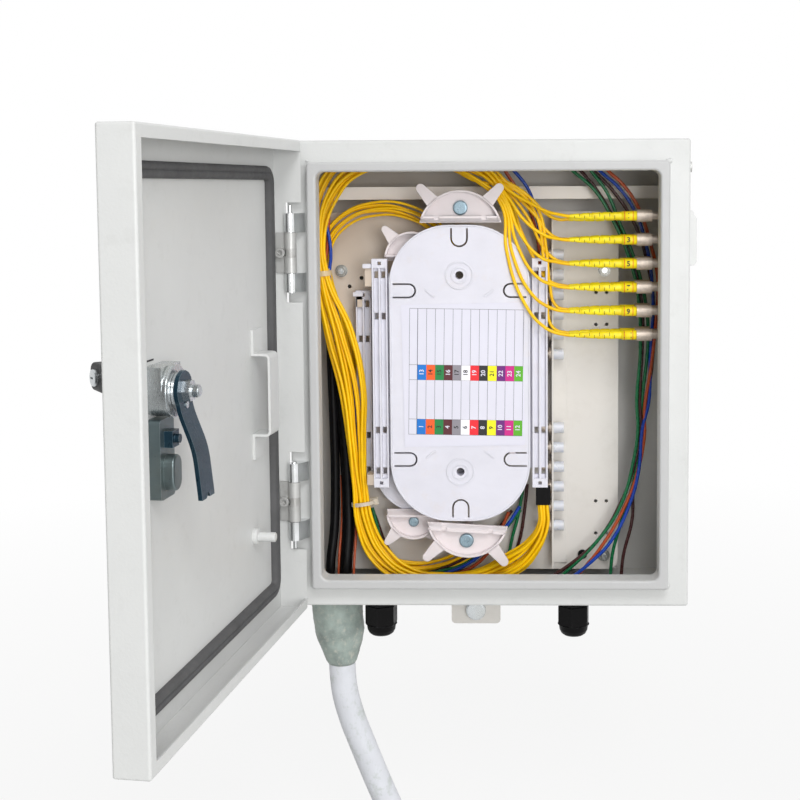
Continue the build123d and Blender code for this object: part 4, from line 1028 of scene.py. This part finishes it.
def tie(name, k, share, r_across, r_deep, head_angle, material, wide):
    """A tie round the bundle, a share of the way from its knot k to the next."""
    a, b = FIBRE_LOOP[k], FIBRE_LOOP[k + 1]
    centre = Vector(a[:3]).lerp(Vector(b[:3]), share)
    along = (Vector(b[:3]) - Vector(a[:3])).normalized()
    side = across_run(along)
    deep = Vector((0, 1, 0))

    def out(angle, grow):
        return side * cos(angle) * (r_across + grow) + deep * sin(angle) * (r_deep + grow)

    def build(bm):
        rings = []
        for edge, grow in TIE_SECTION:
            angles = [2 * pi * i / 40 for i in range(40)]
            rings.append([at(*(centre + along * edge * wide + out(t, grow))) for t in angles])
        ring_wall(bm, rings + rings[:1], closed_ends=False)
        head = centre + out(head_angle, 1.2)
        box = bmesh.ops.create_cube(bm, size=1.0)["verts"]
        turn = Matrix((side, deep, along)).transposed()
        for v in box:
            size = Vector([share_of * full for share_of, full in zip(v.co, TIE_HEAD)])
            v.co = at(*(head + turn @ size))
        edges = list({e for v in box for e in v.link_edges})
        bmesh.ops.bevel(bm, geom=edges, offset=0.0007, segments=3, profile=0.5, affect="EDGES")

    solid(name, build, "tie_plastic", material=material, stands_for=("cable_ties",), smooth=False)


CLEAR_TIE = finish("tie_clear", (226, 214, 196), 0.35, soft=0.4, clear=0.2)
tie("tie_upper", 13, 0.13, r_across=6.9, r_deep=5.0, head_angle=radians(100),
    material=MATERIALS["tie_plastic"], wide=4.6)
tie("tie_lower", 8, 0.55, r_across=9.4, r_deep=5.6, head_angle=radians(160),
    material=CLEAR_TIE, wide=3.4)


# Small dark details: a grommet low on the plate, and a thin dark strip of painted shade on the door over
# the lock
def grommet(bm):
    profile = [(0, 4.3), (1.2, 4.3), (1.6, 3.6), (1.6, 2.0), (1.0, 1.6)]
    turned(bm, at(253.6, 79.9, 23.5), (0, -1, 0), profile, 24)


solid("floor_grommet", grommet, "black_plastic")


# Painted shade: a dark strip laid on the door over the lock; the door is not cut
def slit(bm):
    z = LOCK_Z + 19.2
    a = on_door(LOCK_X + 15, DOOR_INSIDE, z)
    b = on_door(LOCK_X - 2, DOOR_INSIDE, z)
    out = on_door(0, 1, 0) - on_door(0, 0, 0)
    slab(bm, a, b - a, Vector((0, 0, 0.0012)), out, 0.15)


solid("door_shade_strip", slit, "case_paint", "door", INK, smooth=False)


# Splice trays: lids with a raised edge, hub rings, snap tabs and side channels
TRAY_W = 123.0
TRAY_H = 262.0
TRAY_DEEP = 11.0
LID = 2.0
RIDGE_W = 1.4
RIDGE_H = 0.6
CHANNEL_W = 13.5
CHANNEL_RIB = 1.6
CHANNEL_FLOOR = 6.0
HUB_R = 3.6
HUB_RING_R = 12.5
HUB_REACH = 87.0
CHANNEL_L = 203.0
END_TAB = dict(wide=15.4, deep=19.5)
SIDE_TAB = dict(wide=13.2, deep=23.5)
SIDE_TABS_AT = (73.5, -76.0)
RIB_R = 43.0
RIB_W = 1.8
RIB_TURNS = (45, 121)
RIB_SPAN = 14


def snap_slit(u, v, turn, wide, deep, slit=1.5, from_edge=3.0):
    """The thin U round a tab, its open side towards the lid's edge at (u, v)."""
    r = wide / 2
    outer = [(from_edge, r)] + arc(deep - r, 0, r, 90, -90) + [(from_edge, -r)]
    inner = [(from_edge, slit - r)] + arc(deep - r, 0, r - slit, -90, 90) + [(from_edge, r - slit)]
    c, d = cos(radians(turn)), sin(radians(turn))
    return [(u + a * c - b * d, v + a * d + b * c) for a, b in outer + inner]


def channel(bm, place, u, y, length):
    """Two troughs with a rib between them, windows through their floors and a hole at each end."""
    edge = box_outline(u, 0, CHANNEL_W, length)
    trough = (CHANNEL_W - 2 * RIDGE_W - CHANNEL_RIB) / 2
    middles = [u + side * (trough + CHANNEL_RIB) / 2 for side in (-1, 1)]
    ends = [box_outline(u, side * (length / 2 - 4), 3, 3) for side in (-1, 1)]
    runs = [box_outline(m, 0, trough, length - 16) for m in middles]
    levels = [share * length for share in (-0.43, -0.25, 0.25, 0.43)]
    windows = [box_outline(m, level, trough - 1, 6) for m in middles for level in levels]
    prism(bm, [edge] + runs + ends, y + LID, y + CHANNEL_FLOOR, place)
    prism(bm, [edge] + windows + ends, y + CHANNEL_FLOOR, y + TRAY_DEEP, place)


def tray(bm, x, z, y, wide, tall, front):
    """A lid round (x, z) with its face at y, its inner sizes in proportion to the front tray's height."""
    place = upright(x, z)
    corner = min(52.0, wide / 2 - 1)
    edge = box_outline(0, 0, wide, tall, corner)
    hubs = [side * HUB_REACH * tall / TRAY_H for side in (-1, 1)]
    holes = [arc(0, hub, HUB_R, 0, 350, 35) for hub in hubs]
    if front:
        holes += [snap_slit(0, side * tall / 2, -90 * side, **END_TAB) for side in (-1, 1)]
        for v in SIDE_TABS_AT:
            for u, turn in ((-wide / 2, 0), (wide / 2, 180)):
                holes.append(snap_slit(u, v, turn, **SIDE_TAB))
    prism(bm, [edge] + holes, y, y + LID, place)
    skirt = box_outline(0, 0, wide - 2 * LID, tall - 2 * LID, corner - LID)
    prism(bm, [edge, skirt], y + LID, y + TRAY_DEEP, place)
    inner = box_outline(0, 0, wide - 2 * RIDGE_W, tall - 2 * RIDGE_W, corner - RIDGE_W)
    prism(bm, [edge, inner], y - RIDGE_H, y, place)
    for hub in hubs:
        boss = arc(0, hub, HUB_RING_R, 0, 354, 59)
        prism(bm, [boss, arc(0, hub, HUB_R, 0, 350, 35)], y + LID, y + TRAY_DEEP, place)
        for r in (HUB_RING_R, HUB_RING_R * 0.6):
            ring = [arc(0, hub, r, 0, 354, 59), arc(0, hub, r - RIDGE_W, 0, 354, 59)]
            prism(bm, ring, y - RIDGE_H, y, place)
        if front:
            middle = hub * 1.2
            low = 180 if hub > 0 else 0
            for turn in RIB_TURNS:
                rib = band(0, middle, RIB_R, RIB_W, low + turn, low + turn + RIB_SPAN, 6)
                prism(bm, [rib], y - RIDGE_H, y, place)
    length = CHANNEL_L * tall / TRAY_H
    for side in (-1, 1) if front else (-1,):
        u = side * (wide / 2 + 2 + CHANNEL_W / 2)
        channel(bm, place, u, y, length)
        bridge = box_outline(side * (wide / 2 + 1), 0, 6.0, length * 0.84)
        prism(bm, [bridge], y + TRAY_DEEP - LID, y + TRAY_DEEP, place)


def tray_front(bm):
    tray(bm, x=143.8, z=196.5, y=36.0, wide=TRAY_W, tall=TRAY_H, front=True)


def tray_rear(bm):
    """The rear tray shows only its left part, so it has no channel on the right and no tabs."""
    tray(bm, x=107.6, z=181.0, y=57.0, wide=84.0, tall=226.0, front=False)


solid("tray_lid_front", tray_front, "tray_plastic", stands_for=("splice_tray_front",), crease=35)
solid("tray_lid_rear", tray_rear, "tray_plastic", stands_for=("splice_tray_rear",), crease=35)


# Fibre guides: moon-shaped cups with a slanted flat wall, notches and two ears
RIM = 1.8
SLANT = 4.0
CUP_DEEP = 9.0
WALL_DEEP = 6.0
EAR_ROOT = 6.63
EAR_T = 3.0
EAR_TURN = 41.5
SCREW_HOLE_R = 2.1
POST_R = 6.0
NOTCH_AT = 20.5
NOTCH_HALF = 2.2
PLATE_FACE = 80.0


def guide(bm, x, z, r, rise, y, turn, ear, post_lift):
    """A cup of radius r that rises so far above its flat wall, with its post's screw at post_lift."""
    b = radians(turn)

    def place(u, v, depth):
        return at(x + u * cos(b) + v * sin(b), y + depth, z - u * sin(b) + v * cos(b))

    middle = rise - r
    large = r > 30
    hole = arc(0, post_lift, SCREW_HOLE_R, 0, 345, 23)
    low = -degrees(asin(middle / r))
    segment = arc(0, middle, r, low, 180 - low, 48)
    prism(bm, [segment, hole], WALL_DEEP, CUP_DEEP, place)
    start = degrees(asin((SLANT - middle) / r))
    prism(bm, [band(0, middle, r, RIM, start, 180 - start, 48)], 0, WALL_DEEP, place)
    half = (r * r - (SLANT - middle) ** 2) ** 0.5
    gaps = [n + edge for n in (-NOTCH_AT, NOTCH_AT) for edge in (-NOTCH_HALF, NOTCH_HALF)] if large else []
    stops = [-half + 0.6] + gaps + [half - 0.6]
    section = [(0.0, SLANT), (0.0, SLANT + RIM), (WALL_DEEP, SLANT + RIM), (WALL_DEEP, 0.6)]
    for u0, u1 in zip(stops[::2], stops[1::2]):
        ring_wall(bm, [[place(u, v, depth) for depth, v in section] for u in (u0, u1)])
    if large:
        lower = [(2.4, SLANT * 0.62), (2.4, SLANT + RIM)] + section[2:]
        ring_wall(bm, [[place(u, v, depth) for depth, v in lower] for u in (stops[0], stops[-1])])
    tip_r = 3.9 if large else 3.1
    reach = r + ear - tip_r
    root = EAR_ROOT - (EAR_ROOT - tip_r) * (0.14 * r - 1) / (reach - 0.86 * r)
    wing = [(r - 1, root)] + arc(reach, 0, tip_r, 75, -75, 12) + [(r - 1, -root)]
    for side in (-1, 1):
        a = radians(90 + side * EAR_TURN)
        ear_outline = [(c * cos(a) - d * sin(a), middle + c * sin(a) + d * cos(a)) for c, d in wing]
        prism(bm, [ear_outline], 0, EAR_T, place)
    prism(bm, [arc(0, post_lift, POST_R, 0, 345, 23), hole], CUP_DEEP, PLATE_FACE - y, place)


def guides_front(bm):
    size = dict(r=36.6, rise=28.2, y=28.0, ear=18.5)
    guide(bm, x=145.1, z=329.5, turn=0, post_lift=12.9, **size)
    guide(bm, x=149.8, z=62.7, turn=183.5, post_lift=14.1, **size)


def guides_rear(bm):
    size = dict(r=24.0, rise=26.0, y=47.3, ear=14.0, post_lift=11.0)
    guide(bm, x=101.2, z=295.4, turn=0, **size)
    guide(bm, x=100.7, z=71.6, turn=180, **size)


solid("moon_guides_front", guides_front, "guide_plastic", stands_for=("guides_front",), crease=35)
solid("moon_guides_rear", guides_rear, "guide_plastic", stands_for=("guides_rear",), crease=35)


# White stop plates over the beige clips, and the small clip beside the rear channel
def clip_stops(bm):
    for x, z, wide, y in ((62.7, 291.7, 7.4, 37.0), (52.5, 265.5, 9.0, 56.0)):
        prism(bm, [box_outline(x, z, wide, 3.8, 0.8)], y, y + 10, upright(0, 0))


def small_clip(bm):
    prism(bm, [box_outline(53.2, 258.6, 5.6, 9.6, 0.6)], 59.0, 67.0, upright(0, 0))


solid("clip_stops", clip_stops, "tray_plastic", crease=35)
solid("small_clip", small_clip, "clip_plastic", crease=35)


# Lock lever: a flat bar with a round head, bent away from the door in a soft S
LEVER_HEAD_R = 13.2
LEVER_HALF_W = 11.0
LEVER_END = 69.9
LEVER_HALF_T = 1.5
LEVER_PATH = [(14.0, -4.9), (-3.0, -4.9), (-11.0, -4.0), (-18.0, -1.6), (-34.0, 4.6), (-42.0, 6.6),
              (-LEVER_END, 9.7)]


def lever(bm):
    rows = []
    depths = []
    for k in range(41):
        down = LEVER_HEAD_R - (LEVER_HEAD_R + LEVER_END) * k / 40
        for (z0, y0), (z1, y1) in zip(LEVER_PATH, LEVER_PATH[1:]):
            if z1 <= down <= z0:
                y = y0 + (y1 - y0) * (z0 - down) / (z0 - z1)
        wide = LEVER_HALF_W
        if down >= -7.3:
            wide = (LEVER_HEAD_R ** 2 - min(LEVER_HEAD_R - 0.1, abs(down)) ** 2) ** 0.5
        rows.append((down, wide))
        depths.append(y)
    levels = [sum(depths[max(0, min(40, k + d))] for d in (-2, -1, 0, 1, 2)) / 5 for k in range(41)]
    grid = []
    for (down, wide), level in zip(rows, levels):
        sides = []
        for y in (level - LEVER_HALF_T, level + LEVER_HALF_T):
            verts = []
            for share in (-1, -0.3, 0, 0.3, 1):
                notch = 3.6 if down < -69 and share == 0 else 0.0
                point = on_door(LOCK_X + share * wide, y, LOCK_Z + down + notch)
                verts.append(bm.verts.new(point))
            sides.append(verts)
        grid.append(sides)
    for a, b in zip(grid, grid[1:]):
        for i in range(4):
            bm.faces.new((a[0][i], a[0][i + 1], b[0][i + 1], b[0][i]))
            bm.faces.new((a[1][i], a[1][i + 1], b[1][i + 1], b[1][i]))
        for i in (0, 4):
            bm.faces.new((a[0][i], a[1][i], b[1][i], b[0][i]))
    for row in (grid[0], grid[-1]):
        for i in range(4):
            bm.faces.new((row[0][i], row[0][i + 1], row[1][i + 1], row[1][i]))


solid("bent_lever", lever, "blue_zinc", "cam", stands_for=("cam_lever",), crease=35)


# Hinges: knuckles on the case, a barrel with its leaf on the door, and pins with drawn tips
HINGE_INSET = 94.0
HINGE_ZS = (HINGE_INSET, CASE_H - HINGE_INSET)
BARREL_HALF = 17.0
HINGE_HALF = 33.1
HINGE_AXIAL = 0.3
KNUCKLE_R = 5.0
SCOOP_R = 3.6
LEAF_T = 2.0
LEAF_L = 7.6
PIN_R = 2.5
PIN_HOLE = arc(PIN.x, PIN.y, PIN_R + 0.05, 0, 345, 23)
KNUCKLE_RING = arc(PIN.x, PIN.y, KNUCKLE_R, 0, 352.5, 47)


def knuckles(bm):
    points = KNUCKLE_RING + [(5.8, -2.4), (15.4, -2.4), (15.4, 0.0), (5.8, 0.0)]
    outline = [points[i] for i in geometry.convex_hull_2d([Vector(p) for p in points])]
    near = BARREL_HALF + HINGE_AXIAL
    for z in HINGE_ZS:
        for z0, z1 in ((z + near, z + HINGE_HALF), (z - HINGE_HALF, z - near)):
            prism(bm, [outline, PIN_HOLE], z0, z1, at)


def barrels(bm):
    """Each barrel is scooped out beside its screw, in thin layers."""
    levels = [-BARREL_HALF] + [SCOOP_R * (i / 6 - 1) for i in range(13)] + [BARREL_HALF]
    for z in HINGE_ZS:
        for low, high in zip(levels, levels[1:]):
            middle = abs(low + high) / 2
            deep = 0.72 * (SCOOP_R ** 2 - middle ** 2) ** 0.5 if middle < SCOOP_R else 0.0
            ring = [(x, max(y, PIN.y - KNUCKLE_R + deep)) for x, y in KNUCKLE_RING]
            prism(bm, [ring, PIN_HOLE], z + low, z + high, on_door)
        leaf = box_outline(2.5, PIN.y - 9.2, LEAF_T, LEAF_L)
        prism(bm, [leaf], z - BARREL_HALF, z + BARREL_HALF, on_door)


def pins(bm):
    """The lower pin's drawn tip points down, the upper one's up."""
    half = HINGE_HALF
    profile = [(-half - 1.8, 1.0), (-half - 1.3, 2.1), (-half, PIN_R), (half, PIN_R),
               (half + 0.6, 2.3), (half + 1.0, 1.7), (half + 6.6, 1.6), (half + 7.8, 0.7)]
    for z, up in zip(HINGE_ZS, (-1, 1)):
        turned(bm, at(PIN.x, PIN.y, z), (0, 0, up), profile, 24)


BRIGHT = OWN_LOOKS["hinge_knuckles"]
solid("wide_knuckles", knuckles, "zinc", material=BRIGHT, stands_for=("hinge_knuckles",), crease=35)
solid("scooped_barrels", barrels, "hinge_metal", "door", stands_for=("hinge_leaves",), crease=35)
solid("tipped_pins", pins, "zinc", material=BRIGHT, stands_for=("hinge_pins",), crease=35)


# Poured gasket: a crowned bead with a crease along its middle
GASKET_HALF = [(5.7, 0.0), (5.6, 2.6), (4.6, 4.6), (2.6, 5.6), (0.8, 5.3)]
GASKET_SECTION = [(-out, high) for out, high in GASKET_HALF] + [(0.0, 4.5)] + GASKET_HALF[::-1]


def gasket(bm):
    x0, x1, z0, z1, r = 20.0, 317.0, 23.3, 372.7, 9.0
    corners = ((x1 - r, z1 - r, 0), (x0 + r, z1 - r, 90), (x0 + r, z0 + r, 180), (x1 - r, z0 + r, 270))
    rings = []
    for cx, cz, turn in corners:
        for i in range(13):
            a = radians(turn + 90 * i / 12)
            rings.append([on_door(cx + (r + out) * cos(a), DOOR_INSIDE + high, cz + (r + out) * sin(a))
                          for out, high in GASKET_SECTION])
    ring_wall(bm, rings + rings[:1], closed_ends=False)


solid("poured_gasket", gasket, "gasket_foam", "door", stands_for=("door_gasket",), crease=50)


# Light, floor and backdrop
def lamp(name, place, target, size, power):
    data = bpy.data.lights.new(name, "AREA")
    data.shape = "DISK"
    data.size = size
    data.energy = power
    obj = new_object(name, data)
    obj.location = place
    obj.rotation_euler = (Vector(target) - Vector(place)).to_track_quat("-Z", "Y").to_euler()


lamp("key", place=(0.35, -2.1, 1.72), target=(0, -0.1, 0.02), size=0.9, power=22)
lamp("front", place=(0.75, -2.35, 0.3), target=(0, -0.05, 0), size=1.1, power=22)


def studio():
    """Soft light from all round, least from below and most from the right, with a white backdrop."""
    world = bpy.data.worlds.new("studio")
    bpy.context.scene.world = world
    n = Nodes(world)
    sky = n.xyz(n.add("ShaderNodeTexCoord").outputs["Generated"])
    level = n.spread(sky["Z"], -0.5, 0.8, 0.14, 0.72)
    level = n.maths("MULTIPLY_ADD", sky["X"], 0.3, level, clamp=True)
    pick = n.add("ShaderNodeMix", {0: n.backdrop_rays(), 2: level, 3: 1.0})
    n.put(n.tree.nodes["Background"], {"Strength": pick.outputs[0], "Color": (1, 1, 1, 1)})


studio()


def floor_look():
    """Pale and matt, shown as nearly white, and as white far from the object."""
    n = Surface("floor")
    pale = n.mix(n.noise(3, 2), linear((196, 196, 194)), linear((204, 204, 202)))
    rough = n.spread(n.noise(20, 3), 0.3, 0.7, 0.7, 0.85)
    n.made(pale, rough, n.bump(n.noise(200, 2), 0.0001))
    far = n.add("ShaderNodeVectorMath", {0: n.place}, operation="LENGTH").outputs["Value"]
    share = n.times(n.backdrop_rays(), n.spread(far, 0.35, 1.6, 0.86, 1.0))
    glow = n.add("ShaderNodeEmission").outputs[0]
    mixer = n.add("ShaderNodeMixShader", {0: share, 1: n.shader.outputs[0], 2: glow})
    n.put(n.tree.nodes["Material Output"], {"Surface": mixer.outputs[0]})
    return n.owner


FLOOR_SIZE = 9.0
FLOOR_GAP = 0.004
grid = bmesh.new()
bmesh.ops.create_grid(grid, x_segments=1, y_segments=1, size=FLOOR_SIZE)
floor = new_object("floor", mesh_of(grid, "floor"))
floor.data.materials.append(floor_look())
floor.location = (0, 0, cad_box[0][2] - FLOOR_GAP)

bpy.context.scene.view_settings.view_transform = "Standard"
